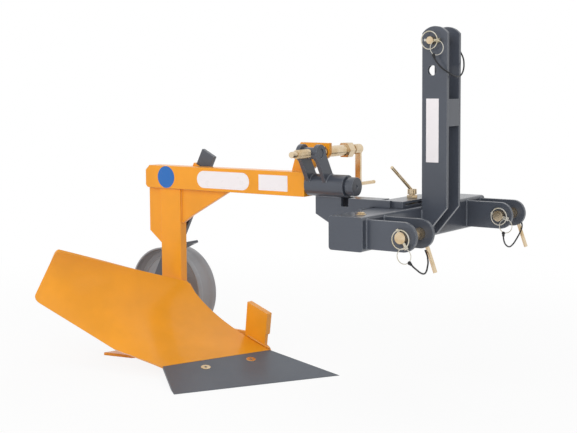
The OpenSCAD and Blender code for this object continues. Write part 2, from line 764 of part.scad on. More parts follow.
// Bracket that leans forward over the sleeve and holds the screw
module screw_bracket() color(orange) stand() difference() {
    top = beam_z + beam_h;
    right = bracket_y - bracket_t / 2;
    union() {
        upright(right, bracket_t) polygon([
            [-beam_front - bracket_foot, top], [screw_x - bracket_back, eye_z + bracket_cut],
            [screw_x - bracket_back + bracket_cut, eye_z + bracket_rise], [screw_x + eye_d / 2, eye_z + bracket_rise],
            [screw_x + eye_d / 2, eye_z], [screw_x, eye_z - eye_d / 2], [-beam_front, top]
        ]);
        cross_bar(screw_x, eye_z, eye_d, right, right + bracket_t);
    }
    cross_hole(screw_x, eye_z, screw_d + 2 * bracket_room, right, bracket_t);
}

// Flat post from the beam down behind the moldboard
module post() color(orange) stand()
    translate([-post_front - post_w, post_face, post_foot_z]) cube([post_w, post_t, beam_z - post_foot_z]);

// Knee plates in front of and behind the post
module knee_plates() color(orange) stand() upright(-beam_off - knee_t / 2, knee_t) {
    rear = -post_front - post_w;
    polygon([
        [-post_front, beam_z], [-post_front + knee_front_l, beam_z],
        [-post_front + knee_cut.x, beam_z - knee_front_h + knee_cut.y], [-post_front, beam_z - knee_front_h]
    ]);
    polygon([
        [rear, beam_z], [rear - knee_rear_l, beam_z], [rear - knee_rear_l, beam_z - knee_rear_h + knee_rear_cut],
        [rear, beam_z - knee_rear_h]
    ]);
}

// Share's own plane: x along the cutting edge, y up the slope, zero at the tip
module on_share() {
    translate(tip) rotate([0, 0, atan2(edge_dir.y, edge_dir.x)]) mirror([0, 1, 0]) rotate([share_pitch, 0, 0]) children();
}

// A point of the share's top face
function share_point(x, y) = let (back = [edge_dir.y, -edge_dir.x, 0])
    tip + x * edge_dir + y * (cos(share_pitch) * back + sin(share_pitch) * [0, 0, 1]);

// Room above the floor and right of the line y, large enough for the plough's body
module body_room(y) {
    translate([-2 * edge_l - tip_x, y - 4 * edge_l, floor_z]) cube(4 * edge_l);
}

// Flat share, ground off level at its cutting edge
module share() color(steel) stand() intersection() {
    on_share() translate([0, 0, -plate_t]) linear_extrude(plate_t)
        polygon([[0, 0], [edge_l, 0], [edge_l - wing_set, share_wing], [shin_set, share_shin]]);
    body_room(0);
}

// Sloped plate of the frog, under the seam of share and moldboard
module frog_plate() color(orange) stand() intersection() {
    on_share() translate([0, 0, -plate_t - frog_t]) linear_extrude(frog_t) polygon([
        [shin_set - 2 * frog_lap, share_shin - 2 * frog_lap], [edge_l - frog_short, share_wing - 2 * frog_lap],
        [edge_l - frog_short, share_wing + frog_lap], [shin_set, share_shin + frog_lap]
    ]);
    body_room(web_y);
}

// Moldboard: its corners, and the control points of its hollow
board_shin = share_point(shin_set, share_shin + seam_room);
board_wing = share_point(edge_l - wing_set, share_wing + seam_room);
board_kink = [-kink_x, -kink_y, floor_z + kink_h];
board_tail = [-tail_x, -tail_y, floor_z + tail_low];
board_top = [-tail_x + tail_slant, -tail_y, floor_z + tail_h];
board_post = [-post_front + (post_t + plate_t) / 2, post_face + (post_t - plate_t) / 2, floor_z + board_h];
sag_shin = [-sag_x, web_y - seam_room - plate_t / 2, floor_z + sag_h];
sag_tail = (board_tail + board_top) / 2 + tail_sag * unit([-1, 0.9, -0.2]);
wing_at = 0.45;
kink_at = 0.68;
wing_rest = 1 - wing_at;
board_reach = (board_wing - wing_rest * wing_rest * board_shin - wing_at * wing_at * board_tail) / (2 * wing_at * wing_rest);

function board_low(u) =
    let (
        knots = [[0, board_shin], [wing_at, board_wing], [kink_at, board_kink], [1, board_tail]],
        i = u <= wing_at ? 0 : u <= kink_at ? 1 : 2,
        t = (u - knots[i][0]) / (knots[i + 1][0] - knots[i][0])
    ) knots[i][1] + t * (knots[i + 1][1] - knots[i][1]);
function board_high(u) = board_post + u * (board_top - board_post);
function board_sag(u) = sag_shin + u * (sag_tail - sag_shin);
function board_run(u) = bend(board_shin, board_reach, board_tail, u);
function board_point(u, v) =
    bend(board_run(u), board_sag(u), board_high(u), v) + pow(1 - v, 4) * (board_low(u) - board_run(u));
function board_back(u, v) = unit(cross(
    board_point(min(u + 0.01, 1), v) - board_point(max(u - 0.01, 0), v),
    board_point(u, min(v + 0.01, 1)) - board_point(u, max(v - 0.01, 0))
));

// Upright frog plate: its upper edge runs behind the moldboard's shin
module web_outline() {
    rear = -post_front - post_w;
    shin = [
        for (v = [0:0.125:1])
            let (p = board_point(0, v) + (plate_t + seam_room + web_set * min(1, 4 * v)) * board_back(0, v)) [p.x, p.z]
    ];
    polygon(concat(shin, [[rear, shin[len(shin) - 1].y], [rear, floor_z + web_lift], [shin[0].x, floor_z + web_lift]]));
}

module frog_web() color(orange) stand() upright(web_y, frog_t) web_outline();

// Landside bar along the furrow wall
module landside() color(orange) stand() upright(web_y + frog_t, landside_t) polygon([
    [-landside_front, floor_z], [-landside_front - landside_cut, floor_z + landside_h / 2],
    [-landside_front - landside_nose, floor_z + landside_h], [-landside_rear + landside_cut, floor_z + landside_h],
    [-landside_rear, floor_z + landside_h - landside_cut], [-landside_rear, floor_z]
]);

// Flat plate on the floor, from the heel of the frog out under the moldboard
module heel_plate() color(orange) stand() translate([0, 0, floor_z]) linear_extrude(heel_t) polygon([
    [-heel_front, web_y], [-heel_back + heel_w, -heel_out + heel_slant], [-heel_back, -heel_out],
    [-landside_rear + landside_cut, web_y]
]);

// Outline of the cutter from a foot's height up, cut to the frog's upright plate
module fin_outline(foot) difference() {
    rear = -fin_front - fin_w;
    lean = fin_set * (1 - foot / fin_h);
    polygon([
        [-fin_front, floor_z + fin_h], [rear, floor_z + fin_h + fin_rise],
        [rear - lean, floor_z + foot], [-fin_front - lean, floor_z + foot]
    ]);
    web_outline();
}

// Upright cutter on the frog's upper edge, with a thicker head above the landside
module cutter_fin() color(orange) stand() {
    upright(web_y, frog_t) fin_outline(2 * web_lift);
    upright(web_y, fin_t) fin_outline(landside_h + seam_room);
}

// Share of the height that the round tail corners take at u
tail_round = 0.025;
tail_share = 0.1;
function corner_share(u) =
    let (s = max(0, (u - 1 + tail_round) / tail_round)) tail_share * (1 - sqrt(max(0, 1 - s * s)));

board_rows = 14;
function at(i, k) = i * (board_rows + 1) + k;

module moldboard() color(orange) stand() {
    us = concat([for (i = [0:14]) wing_at * i / 14], [for (i = [1:6]) wing_at + (kink_at - wing_at) * i / 6],
        [for (i = [1:8]) kink_at + (1 - tail_round - kink_at) * i / 8],
        [for (i = [1:6]) 1 - tail_round + tail_round * sin(15 * i)]);
    rows = board_rows;
    cols = len(us) - 1;
    grid = [for (u = us, k = [0:rows]) let (c = corner_share(u)) [u, c + (1 - 2 * c) * k / rows]];
    front = [for (g = grid) board_point(g[0], g[1])];
    back = [for (g = grid) board_point(g[0], g[1]) + plate_t * board_back(g[0], g[1])];
    half = len(grid);
    front_faces = [for (i = [0:cols - 1], k = [0:rows - 1]) each [
        [at(i, k), at(i + 1, k), at(i + 1, k + 1)], [at(i, k), at(i + 1, k + 1), at(i, k + 1)]
    ]];
    back_faces = [for (f = front_faces) [half + f[2], half + f[1], half + f[0]]];
    rim = concat([for (i = [0:cols]) at(i, 0)], [for (k = [1:rows]) at(cols, k)],
        [for (i = [cols - 1:-1:0]) at(i, rows)], [for (k = [rows - 1:-1:1]) at(0, k)]);
    rim_faces = [for (j = [0:len(rim) - 1]) let (a = rim[j], b = rim[(j + 1) % len(rim)]) each [
        [b, a, half + a], [b, half + a, half + b]
    ]];
    polyhedron(concat(front, back), concat(front_faces, back_faces, rim_faces), convexity = 8);
}

// Leaning frame of the wheel's leg: zero at the axle, z up the leg
module on_leg() {
    translate([-wheel_x, leg_y, wheel_z]) rotate([0, leg_lean, 0]) children();
}

// Flat leg with the eye for its axle
module wheel_leg() color(gray) stand() on_leg() rotate([-90, 0, 0]) mirror([0, 1, 0]) linear_extrude(leg_t)
    difference() {
        union() {
            circle(d = leg_w);
            translate([leg_set - leg_w / 2, 0]) square([leg_w, holder_up + leg_over]);
        }
        circle(d = axle_d + 2 * pin_room);
    }

// Box on the beam's left face that the leg passes through
module leg_holder() color(orange) stand() on_leg() difference() {
    depth = leg_t + 2 * holder_wall;
    width = leg_w + 2 * holder_wall;
    translate([leg_set - width / 2, -holder_wall, holder_up - holder_h / 2]) cube([width, depth, holder_h]);
    translate([leg_set - leg_w / 2 - slide_room, -slide_room, 0])
        cube([leg_w + 2 * slide_room, leg_t + 2 * slide_room, holder_up + holder_h]);
}

// Axle from the leg's eye through the wheel's hub, with a collar at each end
module wheel_axle() color(steel) stand() {
    hub_right = wheel_y - wheel_w / 2;
    cross_bar(-wheel_x, wheel_z, axle_d, leg_y, wheel_y + wheel_w / 2 + 12);
    cross_bar(-wheel_x, wheel_z, wheel_hub_d - 8, leg_y + leg_t, hub_right - 1);
    cross_bar(-wheel_x, wheel_z, wheel_hub_d - 10, wheel_y + wheel_w / 2 + 1, wheel_y + wheel_w / 2 + 9);
}

// Scraper plate from the leg across the tread
module wheel_scraper() color(gray) stand()
    translate([-wheel_x + scraper_lead, leg_y + leg_t, wheel_z + scraper_h]) rotate([0, -scraper_rise, 0])
        translate([-scraper_l / 2, 0, -scraper_t / 2]) cube([scraper_l, scraper_w, scraper_t]);

// Pressed wheel: stepped tread and dished disc
module wheel_rim() color(steel) stand() translate([-wheel_x, wheel_y, wheel_z]) rotate([-90, 0, 0])
    rotate_extrude($fn = 96) {
        r = wheel_d / 2;
        w = wheel_w / 2;
        inner = r - wheel_step / 2 - wheel_wall;
        face = -w + disc_set;
        back = face + wheel_wall;
        flat_r = inner - disc_band;
        slant_r = flat_r - disc_slant;
        polygon([
            [r, -w], [r, -w + wheel_step], [r - wheel_step / 2, -w + 2 * wheel_step], [r - wheel_step / 2, w - 2 * wheel_step],
            [r, w - wheel_step], [r, w], [r - wheel_wall, w], [r - wheel_wall, w - wheel_step - 1],
            [inner, w - 2 * wheel_step], [inner, back], [flat_r, back], [slant_r, back - disc_step],
            [wheel_hub_d / 2, back - disc_step], [wheel_hub_d / 2, face - disc_step], [slant_r, face - disc_step],
            [flat_r, face], [inner, face], [inner, -w + 2 * wheel_step],
            [r - wheel_wall, -w + wheel_step + 1], [r - wheel_wall, -w]
        ]);
    }

// Hub that turns on the axle
module wheel_hub() color(steel) stand() translate([-wheel_x, wheel_y - wheel_w / 2, wheel_z]) rotate([-90, 0, 0])
    difference() {
        cylinder(d = wheel_hub_d, h = wheel_w);
        translate([0, 0, -1]) cylinder(d = axle_d + 2 * run_room, h = wheel_w + 2);
    }

crossbar();
mast_plate_right();
mast_plate_left();
mast_spacer();
lower_ears_right();
lower_ears_left();
top_link_pin();
lower_pin_right();
lower_pin_left();
lynch_pin_top();
lynch_pin_right();
lynch_pin_left();
tether_top();
tether_right();
tether_left();
carriage_cheek();
carriage_back();
clamp_saddle();
clamp_bolt();
clamp_handle();
pivot_sleeve();
pivot_lugs();
screw_nut();
tilt_screw();
screw_bearing();
crank_arm();
crank_grip();
pivot_shaft();
beam();
screw_bracket();
post();
knee_plates();
frog_plate();
frog_web();
moldboard();
share();
landside();
heel_plate();
cutter_fin();
leg_holder();
wheel_leg();
wheel_axle();
wheel_scraper();
wheel_rim();
wheel_hub();
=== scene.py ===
"""Dresses the moldboard plough: camera, cords, painted and plated finishes, welds, fasteners and the studio.

Places are in the hitch's frame, in millimetres. Beads, edges and fasteners are sized in metres, as in Blender.
"""

import json
import logging
import math
from dataclasses import dataclass, field
from enum import Enum
from typing import Iterable, Sequence

import bmesh
import bpy
from mathutils import Matrix, Vector
from mathutils.bvhtree import BVHTree


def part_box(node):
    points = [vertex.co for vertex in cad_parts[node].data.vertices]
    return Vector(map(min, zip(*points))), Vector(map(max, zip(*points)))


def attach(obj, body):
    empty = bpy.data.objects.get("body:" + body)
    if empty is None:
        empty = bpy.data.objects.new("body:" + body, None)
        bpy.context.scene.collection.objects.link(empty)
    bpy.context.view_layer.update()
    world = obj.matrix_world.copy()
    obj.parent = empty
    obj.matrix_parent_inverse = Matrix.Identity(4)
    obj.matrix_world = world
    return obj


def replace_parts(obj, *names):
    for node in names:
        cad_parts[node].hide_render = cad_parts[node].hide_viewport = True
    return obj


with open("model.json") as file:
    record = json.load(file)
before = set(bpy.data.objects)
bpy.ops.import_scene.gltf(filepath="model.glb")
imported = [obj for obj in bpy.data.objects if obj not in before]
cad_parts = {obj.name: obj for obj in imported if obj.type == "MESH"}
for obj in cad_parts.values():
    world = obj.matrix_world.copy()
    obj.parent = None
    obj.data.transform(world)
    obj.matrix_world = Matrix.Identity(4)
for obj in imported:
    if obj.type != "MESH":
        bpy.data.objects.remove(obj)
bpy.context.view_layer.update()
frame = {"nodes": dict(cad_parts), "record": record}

LOG = logging.getLogger("plough")
PHOTO_WIDTH = 577
MM_PER_M = 1000
HITCH_ZERO = Vector((0.4515, 0.08321, 0.408))
ACROSS = Vector((0, 1, 0))
UP = Vector((0, 0, 1))
SHARP = math.radians(38)
FLAT = math.radians(0.4)
TURNED = 32
HEXAGON = 6
SQUARE = 4
NOISE_MIDDLE = 0.5
WHITE = (1.0, 1.0, 1.0, 1.0)

Point = tuple[float, float, float]
Span = tuple[float, float]
Area = tuple[float, float, float, float]
Colour = tuple[float, float, float, float]
Loop = Sequence[Point]


class Body(Enum):
    """Moving bodies of the plough."""

    HEADSTOCK = "headstock"
    CARRIAGE = "carriage"
    SCREW = "screw"
    PLOUGH = "plough_body"
    WHEEL = "wheel"


class Slot(Enum):
    """Finishes that the record names."""

    GRAY = "gray_paint"
    ORANGE = "orange_paint"
    ZINC = "yellow_zinc"
    BRIGHT = "bright_zinc"
    SHARE = "share_steel"
    WHEEL = "wheel_paint"
    CORD = "tether_cord"


def hitch(x: float, y: float, z: float) -> Vector:
    """Turns a point of the hitch's frame, in millimetres, into the row frame, in metres."""
    return HITCH_ZERO + Vector((x, y, z)) / MM_PER_M


def facing(spot: Vector, along: Vector, side: str = "Y") -> Matrix:
    """Place at a spot whose Z axis points along a direction."""
    return Matrix.Translation(spot) @ along.to_track_quat("Z", side).to_matrix().to_4x4()


def linear(colour: str) -> Colour:
    """Turns a colour written as six hex digits into linear light, by the usual screen curve.

    Args:
        colour: Six hex digits, as on a paint card.

    Returns:
        Red, green, blue and an alpha of one.
    """
    parts = [int(colour[i:i + 2], 16) / 255 for i in (0, 2, 4)]
    light = [p / 12.92 if p <= 0.04045 else ((p + 0.055) / 1.055) ** 2.4 for p in parts]
    return light[0], light[1], light[2], 1.0


@dataclass(frozen=True)
class Grain:
    """Size and make-up of a cloudy noise."""

    scale: float
    detail: float = 3
    rough: float = 0.55


class Wire:
    """One output socket of a node net; arithmetic on it adds Math nodes."""

    def __init__(self, net: "Net", socket: bpy.types.NodeSocket | None) -> None:
        """Keeps the socket and the net that it belongs to."""
        self.net = net
        self.socket = socket

    def _math(self, operation: str, first: "Wire | float", second: "Wire | float") -> "Wire":
        """Adds one Math node for an operation on two values."""
        return self.net.add("ShaderNodeMath", {"operation": operation}, {0: first, 1: second})

    def __add__(self, other: "Wire | float") -> "Wire":
        """Sum."""
        return self._math("ADD", self, other)

    def __radd__(self, other: float) -> "Wire":
        """Sum with a number in front."""
        return self._math("ADD", other, self)

    def __sub__(self, other: "Wire | float") -> "Wire":
        """Difference."""
        return self._math("SUBTRACT", self, other)

    def __rsub__(self, other: float) -> "Wire":
        """Difference from a number."""
        return self._math("SUBTRACT", other, self)

    def __mul__(self, other: "Wire | float") -> "Wire":
        """Product."""
        return self._math("MULTIPLY", self, other)

    def __rmul__(self, other: float) -> "Wire":
        """Product with a number in front."""
        return self._math("MULTIPLY", other, self)

    def either(self, other: "Wire | float") -> "Wire":
        """Larger of two values."""
        return self._math("MAXIMUM", self, other)

    def ease(self, low: float, high: float) -> "Wire":
        """Smooth step from 0 at low to 1 at high."""
        settings = {"interpolation_type": "SMOOTHSTEP"}
        return self.net.add("ShaderNodeMapRange", settings, {0: self, 1: low, 2: high})

    def sway(self, amount: float) -> "Wire":
        """Noise turned into a swing of the amount about 0."""
        return (self - NOISE_MIDDLE) * amount


class Net:
    """Node net of one material or world."""

    def __init__(self, owner: "bpy.types.Material | bpy.types.World") -> None:
        """Starts an empty net.

        Args:
            owner: New material or world that the net is for.
        """
        owner.use_nodes = True
        self.owner = owner
        self.tree = owner.node_tree
        self.tree.nodes.clear()

    def add(self, kind: str, settings: dict | None = None, inputs: dict | None = None,
            output: int | str = 0) -> Wire:
        """Adds one node.

        Args:
            kind: Blender's name of the node's type.
            settings: Properties of the node, set before its sockets.
            inputs: Values or wires by socket name or number.
            output: Name or number of the wanted output.

        Returns:
            The wanted output, or an empty wire where the node has none.
        """
        node = self.tree.nodes.new(kind)
        for key, value in (settings or {}).items():
            setattr(node, key, value)
        for key, value in (inputs or {}).items():
            if isinstance(value, Wire):
                self.tree.links.new(value.socket, node.inputs[key])
            else:
                node.inputs[key].default_value = value
        return Wire(self, node.outputs[output] if node.outputs else None)

    def place(self, stretch: Point = (1, 1, 1)) -> Wire:
        """Object coordinates, stretched along the axes."""
        spot = self.add("ShaderNodeTexCoord", output="Object")
        return spot if stretch == (1, 1, 1) else self.add("ShaderNodeMapping", {}, {"Vector": spot, "Scale": stretch})

    def noise(self, spot: Wire, grain: Grain) -> Wire:
        """Cloudy noise between 0 and 1."""
        sockets = {"Vector": spot, "Scale": grain.scale, "Detail": grain.detail, "Roughness": grain.rough}
        return self.add("ShaderNodeTexNoise", {}, sockets)

    def mix(self, share: "Wire | float", first: "Wire | Colour", second: "Wire | Colour") -> Wire:
        """Colour between first and second."""
        return self.add("ShaderNodeMix", {"data_type": "RGBA"}, {0: share, 6: first, 7: second}, 2)

    def dot(self, first: Wire, second: Wire) -> Wire:
        """Dot product of two vectors."""
        return self.add("ShaderNodeVectorMath", {"operation": "DOT_PRODUCT"}, {0: first, 1: second}, "Value")

    def reach(self, spot: Wire) -> Wire:
        """Distance of a spot from the origin."""
        return self.add("ShaderNodeVectorMath", {"operation": "LENGTH"}, {0: spot}, "Value")

    def upward(self) -> Wire:
        """How far a face looks up, from -1 to 1."""
        normal = self.add("ShaderNodeNewGeometry", output="Normal")
        return self.add("ShaderNodeSeparateXYZ", {}, {0: normal}, "Z")

    def soft_edge(self, radius: float, samples: int = 6) -> tuple[Wire, Wire]:
        """Looks for edges near a spot.

        Args:
            radius: Radius that the edges seem rounded to.
            samples: Rays that feel for the edge.

        Returns:
            The normal rounded over the edges, and how far it is turned there.
        """
        eased = self.add("ShaderNodeBevel", {"samples": samples}, {"Radius": radius})
        flat = self.add("ShaderNodeNewGeometry", output="Normal")
        return eased, 1 - self.dot(eased, flat)

    def bump(self, height: Wire, depth: float, normal: Wire | None = None) -> Wire:
        """Normal of a relief as deep as depth."""
        links = {"Height": height, "Strength": 1.0, "Distance": depth}
        return self.add("ShaderNodeBump", {}, links if normal is None else {**links, "Normal": normal})

    def seen(self) -> Wire:
        """1 where a surface is seen, also in gloss and through glass, and 0 where it lights others."""
        rays = [self.add("ShaderNodeLightPath", output=f"Is {ray} Ray") for ray in ("Camera", "Glossy", "Transmission")]
        return rays[0].either(rays[1]).either(rays[2])

    def surface(self, **sockets: object) -> bpy.types.Material:
        """Closes a material with a Principled shader.

        Args:
            sockets: Values or wires by socket name, spaces written as underscores.

        Returns:
            The finished material.
        """
        links = {key.replace("_", " ").title().replace("Ior", "IOR"): value for key, value in sockets.items()}
        self.close(self.add("ShaderNodeBsdfPrincipled", {}, links))
        return self.owner

    def close(self, shader: Wire) -> None:
        """Links a shader to the owner's output."""
        kind = "World" if isinstance(self.owner, bpy.types.World) else "Material"
        self.add("ShaderNodeOutput" + kind, {}, {"Surface": shader})


@dataclass(frozen=True)
class Paint:
    """Sprayed paint on steel: faint clouds, orange peel, a light dusting that also paints upward faces lighter as a
    painted top light, and pale edges, partly wear and partly a painted highlight.
    """

    name: str
    colour: str
    rubbed_and_highlit: str
    rough: float = 0.3
    rub_and_highlight: float = 0.6
    coat: float = 0.25
    coat_rough: float = 0.1
    shine: float = 0.4
    dust_and_top_light: float = 0.05
    peel: float = 0.00005
    edge: float = 0.0022
    clouds: Grain = Grain(6, 4)
    cloud_steps: Span = (0.3, 0.7)
    cloud_shade: float = 0.88
    dust_and_top_light_grain: Grain = Grain(14, 5)
    dust_and_top_light_steps: Span = (0.4, 0.75)
    dust_and_top_light_facing: Span = (0.6, 1.0)
    dust_and_top_light_colour: Colour = (0.6, 0.58, 0.54, 1.0)
    specks: Grain = Grain(210)
    wear_highlight_gain: Span = (4, 7)
    wear_highlight_steps: Span = (0.3, 1.3)
    gloss: Grain = Grain(32)
    gloss_sway: float = 0.08
    fine_peel: Grain = Grain(260, 2)
    coarse_peel: Grain = Grain(34, 2)
    coarse_share: float = 2.2

    def make(self) -> bpy.types.Material:
        """Builds the paint's material.

        Returns:
            The finished material.
        """
        net = Net(bpy.data.materials.new(self.name))
        spot = net.place()
        normal, rim = net.soft_edge(self.edge)
        base = linear(self.colour)
        deep = tuple(self.cloud_shade * c for c in base[:3]) + (1.0,)
        tone = net.mix(net.noise(spot, self.clouds).ease(*self.cloud_steps), deep, base)
        # Pale patches on upward faces: partly a light dusting, partly a painted lighter top where light falls from
        # above.
        patches = net.noise(spot, self.dust_and_top_light_grain).ease(*self.dust_and_top_light_steps)
        dust_and_top_light = net.upward().ease(*self.dust_and_top_light_facing) * patches * self.dust_and_top_light
        tone = net.mix(dust_and_top_light, tone, self.dust_and_top_light_colour)
        # Edges painted pale: partly wear, partly a painted highlight where the rounded edges catch the light.
        plain, speckled = self.wear_highlight_gain
        wear_and_highlight = (rim * (plain + net.noise(spot, self.specks) * speckled)).ease(*self.wear_highlight_steps) * self.rub_and_highlight
        tone = net.mix(wear_and_highlight, tone, linear(self.rubbed_and_highlit))
        rough = self.rough + net.noise(spot, self.gloss).sway(self.gloss_sway) + dust_and_top_light
        relief = net.noise(spot, self.fine_peel) + net.noise(spot, self.coarse_peel) * self.coarse_share
        return net.surface(base_color=tone, roughness=rough, normal=net.bump(relief, self.peel, normal),
                           specular_ior_level=self.shine, coat_weight=self.coat, coat_roughness=self.coat_rough)


@dataclass(frozen=True)
class Plating:
    """Passivated zinc on turned steel: drifting tints, fine turning marks and pale edges, partly wear to the steel and
    partly a painted highlight.
    """

    name: str
    colour: str
    tint: str
    rough: float
    bare_and_highlight: str = "f4ead2"
    metal: float = 0.92
    edge: float = 0.0012
    drift: Grain = Grain(26, 4, 0.6)
    drift_steps: Span = (0.38, 0.66)
    marks: Grain = Grain(160, 2)
    marks_stretch: Point = (1, 14, 1)
    marks_rough: float = 0.06
    marks_depth: float = 0.00004
    bare_highlight_gain: float = 5
    bare_highlight_steps: Span = (0.3, 1.2)
    bare_highlight_share: float = 0.6
    gloss: Grain = Grain(70)
    gloss_sway: float = 0.2

    def make(self) -> bpy.types.Material:
        """Builds the plating's material.

        Returns:
            The finished material.
        """
        net = Net(bpy.data.materials.new(self.name))
        spot = net.place()
        normal, rim = net.soft_edge(self.edge)
        marks = net.noise(net.place(self.marks_stretch), self.marks)
        drift = net.noise(spot, self.drift).ease(*self.drift_steps)
        tone = net.mix(drift, linear(self.colour), linear(self.tint))
        # Edges and turning streaks painted pale: partly wear, partly a painted highlight.
        bare_and_highlight = (rim * self.bare_highlight_gain + (marks - NOISE_MIDDLE)).ease(*self.bare_highlight_steps) * self.bare_highlight_share
        tone = net.mix(bare_and_highlight, tone, linear(self.bare_and_highlight))
        rough = self.rough + net.noise(spot, self.gloss).sway(self.gloss_sway) + marks * self.marks_rough
        return net.surface(base_color=tone, metallic=self.metal, roughness=rough,
                           normal=net.bump(marks, self.marks_depth, normal))


@dataclass(frozen=True)
class CordSkin:
    """Black plastic skin of a tether, scuffed a little."""

    name: str = "tether_skin"
    colour: str = "16171a"
    scuffed: str = "2e2f33"
    scuffs: Grain = Grain(180, 4)
    scuff_steps: Span = (0.5, 0.8)
    scuff_depth: float = 0.00008
    rough: float = 0.42
    rough_sway: float = 0.2

    def make(self) -> bpy.types.Material:
        """Builds the skin's material.

        Returns:
            The finished material.
        """
        net = Net(bpy.data.materials.new(self.name))
        scuff = net.noise(net.place(), self.scuffs)
        tone = net.mix(scuff.ease(*self.scuff_steps), linear(self.colour), linear(self.scuffed))
        return net.surface(base_color=tone, roughness=self.rough + scuff.sway(self.rough_sway),
                           normal=net.bump(scuff, self.scuff_depth))


@dataclass(frozen=True)
class Film:
    """Plain label film without any print, slightly uneven, a bit dirty."""

    name: str
    colour: str
    dirt: str = "a9a49a"
    grime: Grain = Grain(120, 5)
    grime_steps: Span = (0.58, 0.9)
    grime_share: float = 0.16
    waves: Grain = Grain(30)
    wave_depth: float = 0.00012
    rough: float = 0.3
    rough_sway: float = 0.14

    def make(self) -> bpy.types.Material:
        """Builds the film's material.

        Returns:
            The finished material.
        """
        net = Net(bpy.data.materials.new(self.name))
        spot = net.place()
        wave = net.noise(spot, self.waves)
        grime = net.noise(spot, self.grime).ease(*self.grime_steps) * self.grime_share
        tone = net.mix(grime, linear(self.colour), linear(self.dirt))
        return net.surface(base_color=tone, roughness=self.rough + wave.sway(self.rough_sway),
                           normal=net.bump(wave, self.wave_depth))


class Paints:
    """All finishes of the plough, each made once."""

    def __init__(self) -> None:
        """Makes every material."""
        finishes: dict[Slot, Paint | Plating | CordSkin] = {
            Slot.GRAY: Paint("gray_paint_gloss", "4f545e", "b9bdc2"),
            Slot.ORANGE: Paint("orange_paint_gloss", "f7a221", "fbc67e", rub_and_highlight=0.4, dust_and_top_light=0.02, shine=0.3),
            Slot.ZINC: Plating("yellow_zinc_plate", "e0ccad", "cbb087", rough=0.2),
            Slot.BRIGHT: Plating("bright_zinc_plate", "d8d5cc", "c9c0a6", rough=0.22),
            Slot.SHARE: Paint("share_paint_satin", "565c65", "8c9196", rough=0.48, coat=0.06, rub_and_highlight=0.5, dust_and_top_light=0),
            Slot.WHEEL: Paint("wheel_paint_satin", "9a9b9f", "c4c5c7", rough=0.36, coat=0.15),
            Slot.CORD: CordSkin(),
        }
        self.of_slot = {slot: finish.make() for slot, finish in finishes.items()}
        # Weld beads are painted lighter and paler than the plates they join, as a painted highlight on the rounded
        # beads.
        self.bead_gray_painted_highlight = Paint("gray_weld_painted_highlight", "646973", "c9ccd0", rub_and_highlight=0.5, peel=0.0002).make()
        self.bead_orange_painted_highlight = Paint("orange_weld_painted_highlight", "f0a23c", "f8c27e", rub_and_highlight=0.35, dust_and_top_light=0.02, peel=0.0002).make()
        self.white_film = Film("label_film_white", "f3eef0").make()
        self.blue_film = Film("label_film_blue", "1668b8").make()


@dataclass(frozen=True)
class Step:
    """One step of a fastener: its top over the seat, its radius, its sides and how far its edges are rounded."""

    top: float
    radius: float
    sides: int = TURNED
    edge: float = 0


